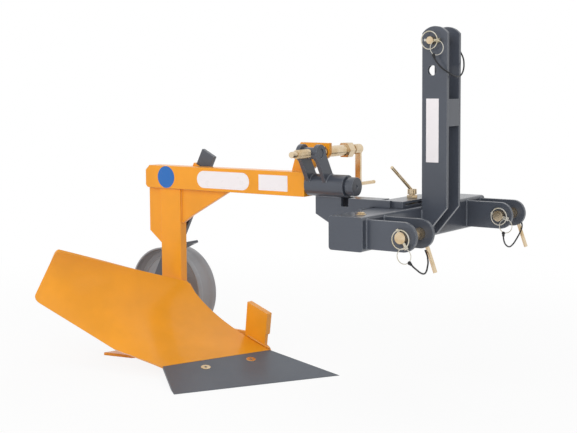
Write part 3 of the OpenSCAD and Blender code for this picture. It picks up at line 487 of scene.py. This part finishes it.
class Piece:
    """One piece in the making: a bmesh, a few moves of the trade, and its finished object."""

    SOLID_MERGE: float = 2e-6
    PIECE_MERGE: float = 1e-6
    EDGE_STEPS: int = 2
    BALL_SIDES: tuple[int, int] = (20, 12)
    WIRE_SIDES: int = 12
    RING_STEPS: int = 48
    BEAD_SIDES: int = 8
    BEAD_PITCH: float = 0.85
    BEAD_END: float = 0.55
    BEAD_TROUGH: float = 0.8
    FILM_SIDES: int = 48
    FILM_THICK: float = 0.0003

    def __init__(self, name: str) -> None:
        """Starts an empty mesh."""
        self.name = name
        self.bm = bmesh.new()

    def copy_solid(self, node: str) -> None:
        """Takes in a merged copy of a solid, its flat faces made whole again.

        Args:
            node: Name of the solid.
        """
        self.bm.from_mesh(frame["nodes"][node].data)
        bmesh.ops.remove_doubles(self.bm, verts=self.bm.verts[:], dist=self.SOLID_MERGE)
        bmesh.ops.dissolve_limit(self.bm, angle_limit=FLAT, verts=self.bm.verts[:], edges=self.bm.edges[:])

    def edges_between(self, verts: Iterable) -> list:
        """Edges that have both ends among the vertices."""
        chosen = set(verts)
        return [e for e in self.bm.edges if chosen.issuperset(e.verts)]

    def drum(self, low: Vector, high: Vector, radius: float, sides: int = TURNED) -> list:
        """Adds a turned drum or a prism between two points.

        Args:
            low: Middle of the first end.
            high: Middle of the second end.
            radius: Radius to its corners.
            sides: Number of sides, six for a hexagon.

        Returns:
            The new vertices.
        """
        along = high - low
        made = bmesh.ops.create_cone(self.bm, cap_ends=True, segments=sides, radius1=radius, radius2=radius,
                                     depth=along.length, matrix=facing((low + high) / 2, along))
        return made["verts"]

    def ball(self, middle: Vector, radius: float) -> None:
        """Adds a ball."""
        round_about, up_and_down = self.BALL_SIDES
        bmesh.ops.create_uvsphere(self.bm, u_segments=round_about, v_segments=up_and_down, radius=radius,
                                  matrix=Matrix.Translation(middle))

    def bevel(self, edges: list, width: float, steps: int) -> None:
        """Rounds the given edges over a width."""
        bmesh.ops.bevel(self.bm, geom=edges, offset=width, offset_type="OFFSET", affect="EDGES", segments=steps,
                        profile=0.5, material=-1, clamp_overlap=True)

    def soften(self, verts: Iterable, width: float) -> None:
        """Rounds the sharp edges between the given vertices."""
        self.bevel([e for e in self.edges_between(verts) if len(e.link_faces) == 2
                    and e.calc_face_angle(0) > SHARP], width, self.EDGE_STEPS)

    def stack(self, seat: Vector, axis: Vector, steps: Sequence[Step]) -> None:
        """Stacks the steps of a fastener on its seat.

        Args:
            seat: Middle of the seat.
            axis: Direction away from the seat.
            steps: Steps of the fastener, the lowest first.
        """
        low = 0.0
        for step in steps:
            made = self.drum(seat + axis * low, seat + axis * step.top, step.radius, step.sides)
            if step.edge:
                self.soften(made, step.edge)
            low = step.top

    def ring(self, middle: Vector, axis: Vector, radius: float, wire: float) -> None:
        """Adds a closed ring of round wire.

        Args:
            middle: Middle of the ring.
            axis: Direction of the hole.
            radius: Radius to the middle of the wire.
            wire: Radius of the wire.
        """
        side = axis.orthogonal().normalized()
        loop = bmesh.ops.create_circle(self.bm, segments=self.WIRE_SIDES, radius=wire,
                                       matrix=facing(middle + side * radius, axis.cross(side)))["verts"]
        bmesh.ops.spin(self.bm, geom=[*loop, *self.edges_between(loop)], cent=middle, axis=axis, angle=math.tau,
                       steps=self.RING_STEPS, use_merge=True)

    def bead(self, route: Sequence[Vector], radius: float) -> None:
        """Adds a weld bead with a ripple every couple of millimetres.

        Args:
            route: Corners of the seam.
            radius: Radius of the bead.
        """
        stops = [route[0]]
        for start, end in zip(route, route[1:]):
            count = max(2, round((end - start).length / (self.BEAD_PITCH * radius)))
            stops += [start.lerp(end, i / count) for i in range(1, count + 1)]
        last = len(stops) - 1
        rim = None
        for i, stop in enumerate(stops):
            along = (stops[min(i + 1, last)] - stops[max(i - 1, 0)]).normalized()
            ends = i in (0, last)
            width = radius * (self.BEAD_END if ends else 1.0 if i % 2 else self.BEAD_TROUGH)
            made = bmesh.ops.create_circle(self.bm, segments=self.BEAD_SIDES, radius=width,
                                           matrix=facing(stop, along, "X"), cap_ends=ends)["verts"]
            fresh = self.edges_between(made)
            if rim:
                bmesh.ops.bridge_loops(self.bm, edges=[*rim, *fresh])
            rim = fresh

    def film(self, area: Area, y: float, corner: float) -> None:
        """Adds a thin film with round corners that faces right, in the hitch's millimetres.

        Args:
            area: Its rear, front, lower and upper edge.
            y: Place of its back.
            corner: Radius of its corners.
        """
        x0, x1, z0, z1 = area
        middle = hitch((x0 + x1) / 2, y, (z0 + z1) / 2)
        turn = Matrix.Rotation(math.pi / 2, 4, "X") @ Matrix.Rotation(math.pi / self.FILM_SIDES, 4, "Z")
        verts = bmesh.ops.create_circle(self.bm, cap_ends=True, segments=self.FILM_SIDES, radius=corner / MM_PER_M,
                                        matrix=Matrix.Translation(middle) @ turn)["verts"]
        for axis, width in ((Vector((1, 0, 0)), x1 - x0), (UP, z1 - z0)):
            room = (width / 2 - corner) / MM_PER_M
            for side in (-1, 1):
                half = [v for v in verts if side * (v.co - middle).dot(axis) > 0]
                bmesh.ops.translate(self.bm, vec=side * room * axis, verts=half)
        made = bmesh.ops.extrude_face_region(self.bm, geom=self.bm.faces[:], use_keep_orig=True)["geom"]
        bmesh.ops.translate(self.bm, vec=ACROSS * -self.FILM_THICK,
                            verts=[v for v in made if isinstance(v, bmesh.types.BMVert)])

    def publish(self, body: Body, finish: bpy.types.Material) -> bpy.types.Object:
        """Turns the mesh into an object that rides on a body.

        Args:
            body: Body that carries the piece.
            finish: Material of the piece.

        Returns:
            The new object.
        """
        bmesh.ops.remove_doubles(self.bm, verts=self.bm.verts[:], dist=self.PIECE_MERGE)
        bmesh.ops.recalc_face_normals(self.bm, faces=self.bm.faces[:])
        for face in self.bm.faces:
            face.smooth = True
        for edge in self.bm.edges:
            edge.smooth = len(edge.link_faces) != 2 or edge.calc_face_angle(0) < SHARP
        mesh = bpy.data.meshes.new(self.name)
        self.bm.to_mesh(mesh)
        self.bm.free()
        mesh.materials.append(finish)
        piece = bpy.data.objects.new(self.name, mesh)
        piece.modifiers.new("even_shading", "WEIGHTED_NORMAL").keep_sharp = True
        bpy.context.scene.collection.objects.link(piece)
        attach(piece, body.value)
        LOG.info("%s rides on %s, %d faces", self.name, body.value, len(mesh.polygons))
        return piece


@dataclass
class Camera:
    """Camera at the photograph's viewing angle."""

    sensor: float = 36
    focal_px: float = 1157.87
    yaw: float = 0.6193
    pitch: float = math.radians(4.852)
    roll: float = -0.0066
    place: Point = (1411.93, -2595.51, 357.30)
    shift: float = -0.0633

    def build(self) -> None:
        """Makes the camera the scene's own."""
        data = bpy.data.cameras.new("camera")
        data.sensor_width = self.sensor
        data.lens = self.focal_px * self.sensor / PHOTO_WIDTH
        data.shift_y = self.shift
        camera = bpy.data.objects.new("camera", data)
        turn = Matrix.Rotation(self.yaw, 4, "Z") @ Matrix.Rotation(math.pi / 2 - self.pitch, 4, "X")
        camera.matrix_world = Matrix.Translation(hitch(*self.place)) @ turn @ Matrix.Rotation(self.roll, 4, "Z")
        bpy.context.scene.collection.objects.link(camera)
        bpy.context.scene.camera = camera


@dataclass
class Tether:
    """One plastic-skinned cord from a lynch pin's link ring to its pin."""

    node: str
    route: Loop
    thick: float = 0.004
    ball: float = 0.0046
    crimp: float = 0.85
    round_steps: int = 3
    bend_steps: int = 6

    def build(self, paints: Paints) -> None:
        """Lays the cord along its route, with a ball where it is crimped to the ring.

        Args:
            paints: Finishes to dress with.
        """
        points = [hitch(*p) for p in self.route]
        cord = self.lay(points, paints)
        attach(cord, Body.HEADSTOCK.value)
        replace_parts(cord, self.node)
        crimp = Piece(self.node + "_ball")
        crimp.ball(points[0], self.ball)
        crimp.drum(points[0], points[1], self.thick * self.crimp)
        ball = crimp.publish(Body.HEADSTOCK, paints.of_slot[Slot.CORD])

    def lay(self, points: Sequence[Vector], paints: Paints) -> bpy.types.Object:
        """Draws the cord as one smooth curve.

        Args:
            points: Points that it runs through.
            paints: Finishes to dress with.

        Returns:
            The cord.
        """
        data = bpy.data.curves.new(self.node + "_cord", "CURVE")
        data.dimensions = "3D"
        data.bevel_depth = self.thick / 2
        data.bevel_resolution = self.round_steps
        data.resolution_u = self.bend_steps
        data.use_fill_caps = True
        spline = data.splines.new("BEZIER")
        spline.bezier_points.add(len(points) - 1)
        for knot, point in zip(spline.bezier_points, points):
            knot.co = point
            knot.handle_left_type = knot.handle_right_type = "AUTO"
        data.materials.append(paints.of_slot[Slot.CORD])
        cord = bpy.data.objects.new(self.node + "_cord", data)
        bpy.context.scene.collection.objects.link(cord)
        return cord


@dataclass
class Tethers:
    """The three cords of the hitch pins."""

    cords: list[Tether] = field(default_factory=lambda: [
        Tether("tether_top", [
            (41, -53.5, 420), (43, -53.5, 413), (47, -53, 406), (52, -52, 399), (58, -50, 392), (65, -46, 385),
            (72, -40, 379), (77, -31, 373), (80, -20, 369), (82, -8, 367), (82, 4, 368), (82, 15, 372),
            (81, 25, 379), (79, 34, 388), (76, 41, 399), (72, 46, 411), (66, 48, 423), (59, 48, 434),
            (50, 47, 444), (38.5, 46, 455)]),
        Tether("tether_right", [
            (124.3, -318.5, -54.8), (127, -315, -59), (129, -310, -64), (131, -304, -69), (133, -297, -74),
            (134, -289, -79), (135, -280, -83), (135, -271, -85), (134.5, -262, -84), (133, -253, -79),
            (130, -244, -72), (127, -236, -65), (122, -228, -58), (117, -221, -52), (111, -215, -46),
            (105.5, -211, -40)]),
        Tether("tether_left", [
            (116, 195.5, -44), (115.5, 196.5, -52), (115, 199, -59), (114.5, 203, -66), (114.5, 209, -73),
            (115, 217, -79), (116, 226, -83), (117, 236, -84), (118, 246, -81), (119, 256, -76),
            (120, 266, -69), (121, 276, -61), (122, 286, -52), (122.5, 295, -43), (121, 302, -35),
            (118, 306, -28), (114, 307.5, -20), (109.5, 307.5, -13)]),
    ])

    def build(self, paints: Paints) -> None:
        """Lays all cords."""
        for cord in self.cords:
            cord.build(paints)


@dataclass
class Solids:
    """Every rigid solid of the frame, shown through a copy with smooth curves and softly rounded edges."""

    made_elsewhere: tuple[str, ...] = ("tilt_screw", "tether_top", "tether_right", "tether_left")
    small: tuple[str, ...] = ("lynch_pin_top", "lynch_pin_right", "lynch_pin_left", "clamp_handle")
    edge: float = 0.0009
    cap_dimple: Span = (0.019, 0.003)
    nut_sunk: float = 0.002
    nut_end: float = 1.2
    ear_round: float = 0.0135
    ear_steps: int = 5
    ear_reach: float = 0.04
    ear_flat: float = 0.014
    ear_side: float = 0.03
    tip_slack: float = 0.001
    crosswise: float = 0.99

    def build(self, paints: Paints) -> None:
        """Copies the solids, rounds their edges and gives each the finish of its slot.

        Args:
            paints: Finishes to dress with.
        """
        bodies = frame["record"]["behaviour"]["bodies"]
        body_of = {node: Body(body) for body, nodes in bodies.items() for node in nodes}
        for part in frame["record"]["subparts"]:
            node, slot = part["node"], Slot(part["material_slot"])
            if node in self.made_elsewhere:
                continue
            piece = Piece(node + "_finished")
            piece.copy_solid(node)
            if node.startswith("lower_ears"):
                self.round_ears(piece)
            if node not in self.small:
                piece.soften(piece.bm.verts, self.edge)
            if node == "pivot_shaft":
                self.dimple(piece)
            if node == "screw_nut":
                self.sink_nut(piece)
            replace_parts(piece.publish(body_of[node], paints.of_slot[slot]), node)

    def round_ears(self, piece: Piece) -> None:
        """Turns the cut corners at the ears' tips into arcs.

        Args:
            piece: Copy of one side's ears.
        """
        tip = max(v.co.x for v in piece.bm.verts)
        corners = []
        for edge in piece.bm.edges:
            first, second = (v.co for v in edge.verts)
            height = abs(first.z - HITCH_ZERO.z)
            across = abs((first - second).normalized().y) > self.crosswise
            forward = min(first.x, second.x) > tip - self.ear_reach
            cut = first.x > tip - self.tip_slack or height > self.ear_side
            if across and forward and cut and height > self.ear_flat:
                corners.append(edge)
        piece.bevel(corners, self.ear_round, self.ear_steps)

    def sink_nut(self, piece: Piece) -> None:
        """Sets the nut's journal back a little in the front lug.

        Args:
            piece: Copy of the nut.
        """
        front = max(v.co.x for v in piece.bm.verts)
        end = [v for v in piece.bm.verts if v.co.x > front - self.nut_end * self.edge]
        bmesh.ops.translate(piece.bm, vec=(-self.nut_sunk, 0, 0), verts=end)

    def dimple(self, piece: Piece) -> None:
        """Sinks the lathe's centre hole into the shaft's cap.

        Args:
            piece: Copy of the shaft.
        """
        width, depth = self.cap_dimple
        face = max(piece.bm.faces, key=lambda f: f.calc_center_median().x)
        bmesh.ops.inset_individual(piece.bm, faces=[face], thickness=width, use_even_offset=True)
        bmesh.ops.inset_individual(piece.bm, faces=[face], thickness=depth / 2, depth=-depth, use_even_offset=True)


@dataclass
class Headstock:
    """Weld beads, stop bolt and blank label of the crossbar and mast."""

    ear_faces: tuple[float, ...] = (-302, -292, -222, -212, 212, 222, 292, 302)
    ear_half: float = 35
    mast_faces: tuple[float, ...] = (-37, -27, 27, 37)
    mast_foot: float = 33
    bead: float = 0.0034
    bolt_spot: Point = (-37, -266, 41)
    bolt_steps: tuple[Step, ...] = (Step(0.0015, 0.0125, edge=0.0005), Step(0.006, 0.0085, HEXAGON, 0.0009))
    label_area: Area = (12, 47, 154, 313)
    label_y: float = -37.05
    label_corner: float = 1

    def build(self, paints: Paints) -> None:
        """Adds all small pieces of the headstock.

        Args:
            paints: Finishes to dress with.
        """
        self.welds(paints)
        self.stop_bolt(paints)
        self.label(paints)

    def welds(self, paints: Paints) -> None:
        """Runs the beads at the roots of the ears, the mast and its spacer.

        Args:
            paints: Finishes to dress with.
        """
        seams = Piece("headstock_welds")
        for y in self.ear_faces:
            seams.bead([hitch(0, y, -self.ear_half), hitch(0, y, self.ear_half)], self.bead)
        for low, high in zip(self.ear_faces[::2], self.ear_faces[1::2]):
            for z in (-self.ear_half, self.ear_half):
                seams.bead([hitch(0, low, z), hitch(0, high, z)], self.bead)
        for y in self.mast_faces:
            seams.bead([hitch(0, y, -self.mast_foot), hitch(0, y, self.mast_foot)], self.bead)
        low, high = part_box("mast_spacer")
        for y in (low.y, high.y):
            seams.bead([Vector((low.x, y, low.z)), Vector((low.x, y, high.z))], self.bead)
        seams.publish(Body.HEADSTOCK, paints.bead_gray_painted_highlight)

    def stop_bolt(self, paints: Paints) -> None:
        """Sets the low hexagon bolt with its washer on the crossbar's top.

        Args:
            paints: Finishes to dress with.
        """
        bolt = Piece("crossbar_bolt")
        bolt.stack(hitch(*self.bolt_spot), UP, self.bolt_steps)
        bolt.publish(Body.HEADSTOCK, paints.of_slot[Slot.ZINC])

    def label(self, paints: Paints) -> None:
        """Sticks the blank strip on the right mast plate.

        Args:
            paints: Finishes to dress with.
        """
        strip = Piece("mast_label_blank")
        strip.film(self.label_area, self.label_y, self.label_corner)
        strip.publish(Body.HEADSTOCK, paints.white_film)


@dataclass
class Carriage:
    """Weld beads of the carriage."""

    sleeve_r: float = 29
    sleeve_y: float = -110
    sleeve_z: float = 90
    cheek_faces: Span = (-116, -104)
    left_faces: Span = (-74, -62)
    cheek_x: Span = (-268, -197)
    back_x: float = -105.3
    back_z: Span = (-33, 41)
    lug_faces: tuple[float, ...] = (-286, -274, -234, -222)
    lug_arc: Span = (80, 161)
    lug_steps: int = 8
    lug_share: float = 0.8
    bead: float = 0.003

    def build(self, paints: Paints) -> None:
        """Runs the carriage's beads.

        Args:
            paints: Finishes to dress with.
        """
        seams = Piece("carriage_welds")
        half = (self.cheek_faces[1] - self.cheek_faces[0]) / 2
        root = self.sleeve_z - math.sqrt(self.sleeve_r ** 2 - half ** 2)
        for y in self.cheek_faces:
            seams.bead([hitch(x, y, root) for x in self.cheek_x], self.bead)
        for y in self.cheek_faces + self.left_faces:
            seams.bead([hitch(self.back_x, y, z) for z in self.back_z], self.bead)
        for x in self.lug_faces:
            seams.bead(self.sleeve_arc(x), self.bead * self.lug_share)
        seams.publish(Body.CARRIAGE, paints.bead_gray_painted_highlight)

    def sleeve_arc(self, x: float) -> list[Vector]:
        """Runs an arc round the sleeve, where a lug stands on it.

        Args:
            x: Place along the sleeve.

        Returns:
            The points of the arc.
        """
        first, last = (math.radians(a) for a in self.lug_arc)
        arc = [first + (last - first) * i / self.lug_steps for i in range(self.lug_steps + 1)]
        return [hitch(x, self.sleeve_y + self.sleeve_r * math.cos(a), self.sleeve_z + self.sleeve_r * math.sin(a))
                for a in arc]


@dataclass
class TiltScrew:
    """Threaded screw in place of the plain one."""

    x: float = -254
    z: float = 175
    nub_end: float = -247
    nub_sunk: float = 1
    nub_r: float = 8
    nub_edge: float = 0.002
    thread_start: float = -225
    thread_end: float = -87
    crest_r: float = 11.5
    root_r: float = 9.9
    pitch: float = 5
    flanks: tuple[float, ...] = (0.0, 0.3, 0.55, 0.85, 1.0)
    steps: int = 24
    merge: float = 2e-5

    def build(self, paints: Paints) -> None:
        """Cuts the thread and turns the nub.

        Args:
            paints: Finishes to dress with.
        """
        screw = Piece("tilt_screw_thread")
        self.thread(screw.bm)
        nub = screw.drum(hitch(self.x, self.nub_end, self.z),
                         hitch(self.x, self.thread_start + self.nub_sunk, self.z), self.nub_r / MM_PER_M)
        screw.soften(nub, self.nub_edge)
        made = screw.publish(Body.SCREW, paints.of_slot[Slot.ZINC])
        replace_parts(made, "tilt_screw")

    def thread(self, bm: bmesh.types.BMesh) -> None:
        """Winds the thread's profile along the screw, a turn too long at each end, and trims it.

        Args:
            bm: Mesh that takes the thread.
        """
        turns = math.ceil((self.thread_end - self.thread_start) / self.pitch) + 2
        start = self.thread_start - self.pitch
        radii = (self.root_r, self.crest_r, self.crest_r, self.root_r, self.root_r)
        verts = [bm.verts.new(hitch(self.x, start + t * self.pitch, self.z + r)) for t, r in zip(self.flanks, radii)]
        edges = [bm.edges.new(pair) for pair in zip(verts, verts[1:])]
        bmesh.ops.spin(bm, geom=[*verts, *edges], cent=hitch(self.x, 0, self.z), axis=ACROSS,
                       dvec=ACROSS * (self.pitch / self.steps / MM_PER_M), angle=math.tau * turns,
                       steps=self.steps * turns)
        bmesh.ops.remove_doubles(bm, verts=bm.verts[:], dist=self.merge)
        for y, inner, outer in ((self.thread_start, True, False), (self.thread_end, False, True)):
            bmesh.ops.bisect_plane(bm, geom=[*bm.verts, *bm.edges, *bm.faces], plane_co=hitch(0, y, 0),
                                   plane_no=ACROSS, clear_inner=inner, clear_outer=outer)
        bmesh.ops.holes_fill(bm, edges=[e for e in bm.edges if e.is_boundary], sides=0)


@dataclass
class Beam:
    """Weld beads and blank labels of the beam, bracket and post."""

    under: float = 58
    top: float = 122
    right: float = -130.05
    post_x: Span = (-800, -727)
    post_y: Span = (-122.5, -97.5)
    knee_y: Span = (-116, -104)
    knee_x: Span = (-849, -558)
    knee_low: float = -40
    bracket_y: Span = (-104, -92)
    bracket_x: Span = (-352, -298)
    disc: Point = (-772.5, 90, 31)
    oval: Area = (-658, -476, 65.5, 113)
    card: Area = (-444, -349, 69, 111)
    card_corner: float = 1
    bead: float = 0.0026

    def build(self, paints: Paints) -> None:
        """Runs the beads and sticks the blank labels."""
        self.welds(paints)
        self.labels(paints)

    def welds(self, paints: Paints) -> None:
        """Runs the beads under the beam, at the knees and at the bracket's foot.

        Args:
            paints: Finishes to dress with.
        """
        seams = Piece("beam_welds")
        (x0, x1), (y0, y1) = self.post_x, self.post_y
        ring = [(x0, y0), (x1, y0), (x1, y1), (x0, y1), (x0, y0)]
        seams.bead([hitch(x, y, self.under) for x, y in ring], self.bead)
        for y in self.knee_y:
            seams.bead([hitch(x1, y, self.under), hitch(self.knee_x[1], y, self.under)], self.bead)
            seams.bead([hitch(x0, y, self.under), hitch(self.knee_x[0], y, self.under)], self.bead)
            seams.bead([hitch(x1, y, self.under), hitch(x1, y, self.knee_low)], self.bead)
        for y in self.bracket_y:
            seams.bead([hitch(x, y, self.top) for x in self.bracket_x], self.bead)
        seams.publish(Body.PLOUGH, paints.bead_orange_painted_highlight)

    def labels(self, paints: Paints) -> None:
        """Sticks a blank disc, a blank long label with round ends and a blank card on the beam.

        Args:
            paints: Finishes to dress with.
        """
        x, z, r = self.disc
        self.label("beam_label_disc", (x - r, x + r, z - r, z + r), r, paints.blue_film)
        self.label("beam_label_long", self.oval, (self.oval[3] - self.oval[2]) / 2, paints.white_film)
        self.label("beam_label_card", self.card, self.card_corner, paints.white_film)

    def label(self, name: str, area: Area, corner: float, film: bpy.types.Material) -> None:
        """Sticks one blank label on the beam's right face.

        Args:
            name: Name of the piece.
            area: Its rear, front, lower and upper edge.
            corner: Radius of its corners.
            film: Its material.
        """
        piece = Piece(name)
        piece.film(area, self.right, corner)
        piece.publish(Body.PLOUGH, film)


@dataclass
class PloughBody:
    """Countersunk bolts of the share and landside, and the beads of frog, post and cutter fin."""

    share_bolts: tuple[Span, ...] = ((-487, -308.5), (-432.4, -186.1))
    landside_bolts: tuple[Span, ...] = ((-560, -372), (-690, -372))
    landside_face: float = -75.5
    fin_seam: Loop = ((-434, -98.5, -366), (-455, -98.5, -359.5), (-473, -98.5, -353.5), (-492, -98.5, -346.5),
                      (-510, -98.5, -339.5))
    head_r: float = 0.013
    head_sunk: float = 0.004
    head_proud: float = 0.0012
    head_edge: float = 0.0006
    socket_r: float = 0.0042
    socket_edge: float = 0.0003
    socket_deep: float = 0.0045
    web_room: float = 0.004
    bead: float = 0.003

    def build(self, paints: Paints) -> None:
        """Sets the bolts, those of the share on its own slope, and runs the beads.

        Args:
            paints: Finishes to dress with.
        """
        share = frame["nodes"]["share"].data
        faces = BVHTree.FromPolygons([v.co for v in share.vertices], [f.vertices for f in share.polygons])
        for i, (x, y) in enumerate(self.share_bolts, 1):
            spot, normal, _, _ = faces.ray_cast(hitch(x, y, 0), -UP)
            self.bolt(f"share_bolt_{i}", spot, normal, paints)
        for i, (x, z) in enumerate(self.landside_bolts, 1):
            self.bolt(f"landside_bolt_{i}", hitch(x, self.landside_face, z), ACROSS, paints)
        self.welds(paints)

    def welds(self, paints: Paints) -> None:
        """Runs the beads between the frog and the post, and along the foot of the cutter fin.

        Args:
            paints: Finishes to dress with.
        """
        seams = Piece("frog_welds")
        low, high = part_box("frog_web")
        post_low, post_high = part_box("post")
        for x in (post_low.x, post_high.x):
            seams.bead([Vector((x, low.y, post_low.z)), Vector((x, low.y, high.z - self.web_room))], self.bead)
        seams.bead([hitch(*p) for p in self.fin_seam], self.bead)
        seams.publish(Body.PLOUGH, paints.bead_orange_painted_highlight)

    def bolt(self, name: str, spot: Vector, normal: Vector, paints: Paints) -> None:
        """Sets one countersunk plough bolt with a socket in its head.

        Args:
            name: Name of the piece.
            spot: Point on the face that it sits in.
            normal: Direction that the face looks in.
            paints: Finishes to dress with.
        """
        head = Piece(name)
        drum = head.drum(spot - normal * self.head_sunk, spot + normal * self.head_proud, self.head_r)
        head.soften(drum, self.head_edge)
        top = max(head.bm.faces, key=lambda f: f.calc_center_median().dot(normal))
        for thick, deep in ((self.head_r - self.head_edge - self.socket_r, 0), (self.socket_edge, self.socket_deep)):
            bmesh.ops.inset_individual(head.bm, faces=[top], thickness=thick, depth=-deep, use_even_offset=True)
        head.publish(Body.PLOUGH, paints.of_slot[Slot.ZINC])


@dataclass
class DepthWheel:
    """Pressed beads and weld rings of the wheel, the axle's nut and the holder's set screw.

    Each ring has its place across, its radius and its wire's radius.
    """

    x: float = -900
    z: float = -273
    rings: tuple[Point, ...] = ((18, 27.5, 2.2), (23, 27.5, 2.2), (30, 109, 3.2), (18, 52, 3.6))
    axle_end: float = 89
    nut_steps: tuple[Step, ...] = (Step(0.014, 0.02, HEXAGON, 0.0015),)
    screw_spot: Point = (-690, -66, 90)
    screw_steps: tuple[Step, ...] = (
        Step(0.008, 0.0115, HEXAGON, 0.001), Step(0.018, 0.006), Step(0.028, 0.0095, SQUARE, 0.001))

    def build(self, paints: Paints) -> None:
        """Adds the wheel's small pieces.

        Args:
            paints: Finishes to dress with.
        """
        self.press_rings(paints)
        self.axle_nut(paints)
        self.set_screw(paints)

    def press_rings(self, paints: Paints) -> None:
        """Lays the weld rings of the hub and the pressed beads of the disc.

        Args:
            paints: Finishes to dress with.
        """
        rings = Piece("wheel_hub_welds")
        for y, radius, wire in self.rings:
            rings.ring(hitch(self.x, y, self.z), ACROSS, radius / MM_PER_M, wire / MM_PER_M)
        rings.publish(Body.WHEEL, paints.of_slot[Slot.WHEEL])

    def axle_nut(self, paints: Paints) -> None:
        """Screws the nut on the axle's end.

        Args:
            paints: Finishes to dress with.
        """
        nut = Piece("axle_nut")
        nut.stack(hitch(self.x, self.axle_end, self.z), ACROSS, self.nut_steps)
        nut.publish(Body.PLOUGH, paints.of_slot[Slot.ZINC])

    def set_screw(self, paints: Paints) -> None:
        """Sets the square-headed screw with its lock nut in the holder.

        Args:
            paints: Finishes to dress with.
        """
        screw = Piece("holder_set_screw")
        screw.stack(hitch(*self.screw_spot), ACROSS, self.screw_steps)
        screw.publish(Body.PLOUGH, paints.of_slot[Slot.ZINC])


@dataclass
class Studio:
    """Pale floor, white surround and soft lamps."""

    floor_half: float = 30.0
    floor_drop: float = 0.0006
    floor_colour: Colour = (0.92, 0.92, 0.92, 1.0)
    floor_share: float = 0.88
    floor_fade: Span = (0.7, 2.2)
    ambient: float = 0.42
    aim: Point = (0, 0, 0.4)
    lamps: tuple[tuple[Point, float, float], ...] = (
        ((1.4, -2.8, 1.9), 2.4, 44.0),
        ((-2.2, -2.2, 1.6), 2.4, 26.0),
        ((0.2, 0.4, 3.2), 2.6, 18.0),
        ((-0.6, 3.0, 1.5), 2.4, 30.0),
    )

    def build(self) -> None:
        """Sets the floor, the surround, the lamps and the view transform."""
        self.floor()
        self.surround()
        for spot, size, power in self.lamps:
            self.lamp(spot, size, power)
        bpy.context.scene.view_settings.view_transform = "Standard"

    def lamp(self, spot: Point, size: float, power: float) -> None:
        """Hangs one soft lamp that no gloss shows.

        Args:
            spot: Its place.
            size: Its width.
            power: Its power in watts.
        """
        data = bpy.data.lights.new("softbox", "AREA")
        data.size, data.energy = size, power
        lamp = bpy.data.objects.new("softbox", data)
        lamp.location = spot
        lamp.visible_glossy = False
        lamp.rotation_euler = (Vector(self.aim) - Vector(spot)).to_track_quat("-Z", "Y").to_euler()
        bpy.context.scene.collection.objects.link(lamp)

    def floor(self) -> None:
        """Lays the pale floor, which keeps the plough's soft shadow and fades to white far out."""
        net = Net(bpy.data.materials.new("studio_floor"))
        plain = net.add("ShaderNodeBsdfDiffuse", {}, {"Color": self.floor_colour})
        glow = net.add("ShaderNodeEmission", {}, {"Color": WHITE, "Strength": 1.0})
        far = net.reach(net.place()).ease(*self.floor_fade)
        share = self.floor_share + far * (1 - self.floor_share)
        net.close(net.add("ShaderNodeMixShader", {}, {0: net.seen() * share, 1: plain, 2: glow}))
        mesh = bmesh.new()
        bmesh.ops.create_grid(mesh, x_segments=2, y_segments=2, size=self.floor_half,
                              matrix=Matrix.Translation(UP * -self.floor_drop))
        data = bpy.data.meshes.new("floor")
        mesh.to_mesh(data)
        mesh.free()
        data.materials.append(net.owner)
        floor = bpy.data.objects.new("floor", data)
        bpy.context.scene.collection.objects.link(floor)

    def surround(self) -> None:
        """Makes the world white to the eye and dimmer as a lamp."""
        world = bpy.data.worlds.new("surround")
        bpy.context.scene.world = world
        net = Net(world)
        light = net.add("ShaderNodeBackground", {}, {"Color": WHITE, "Strength": self.ambient})
        bright = net.add("ShaderNodeBackground", {}, {"Color": WHITE, "Strength": 1.0})
        net.close(net.add("ShaderNodeMixShader", {}, {0: net.seen(), 1: light, 2: bright}))


def main() -> None:
    """Builds the scene in order."""
    logging.basicConfig(level=logging.INFO, format="%(message)s")
    paints = Paints()
    Camera().build()
    for assembly in (Tethers(), Solids(), Headstock(), Carriage(), TiltScrew(), Beam(), PloughBody(), DepthWheel()):
        assembly.build(paints)
    Studio().build()


if __name__ == "__main__":
    main()
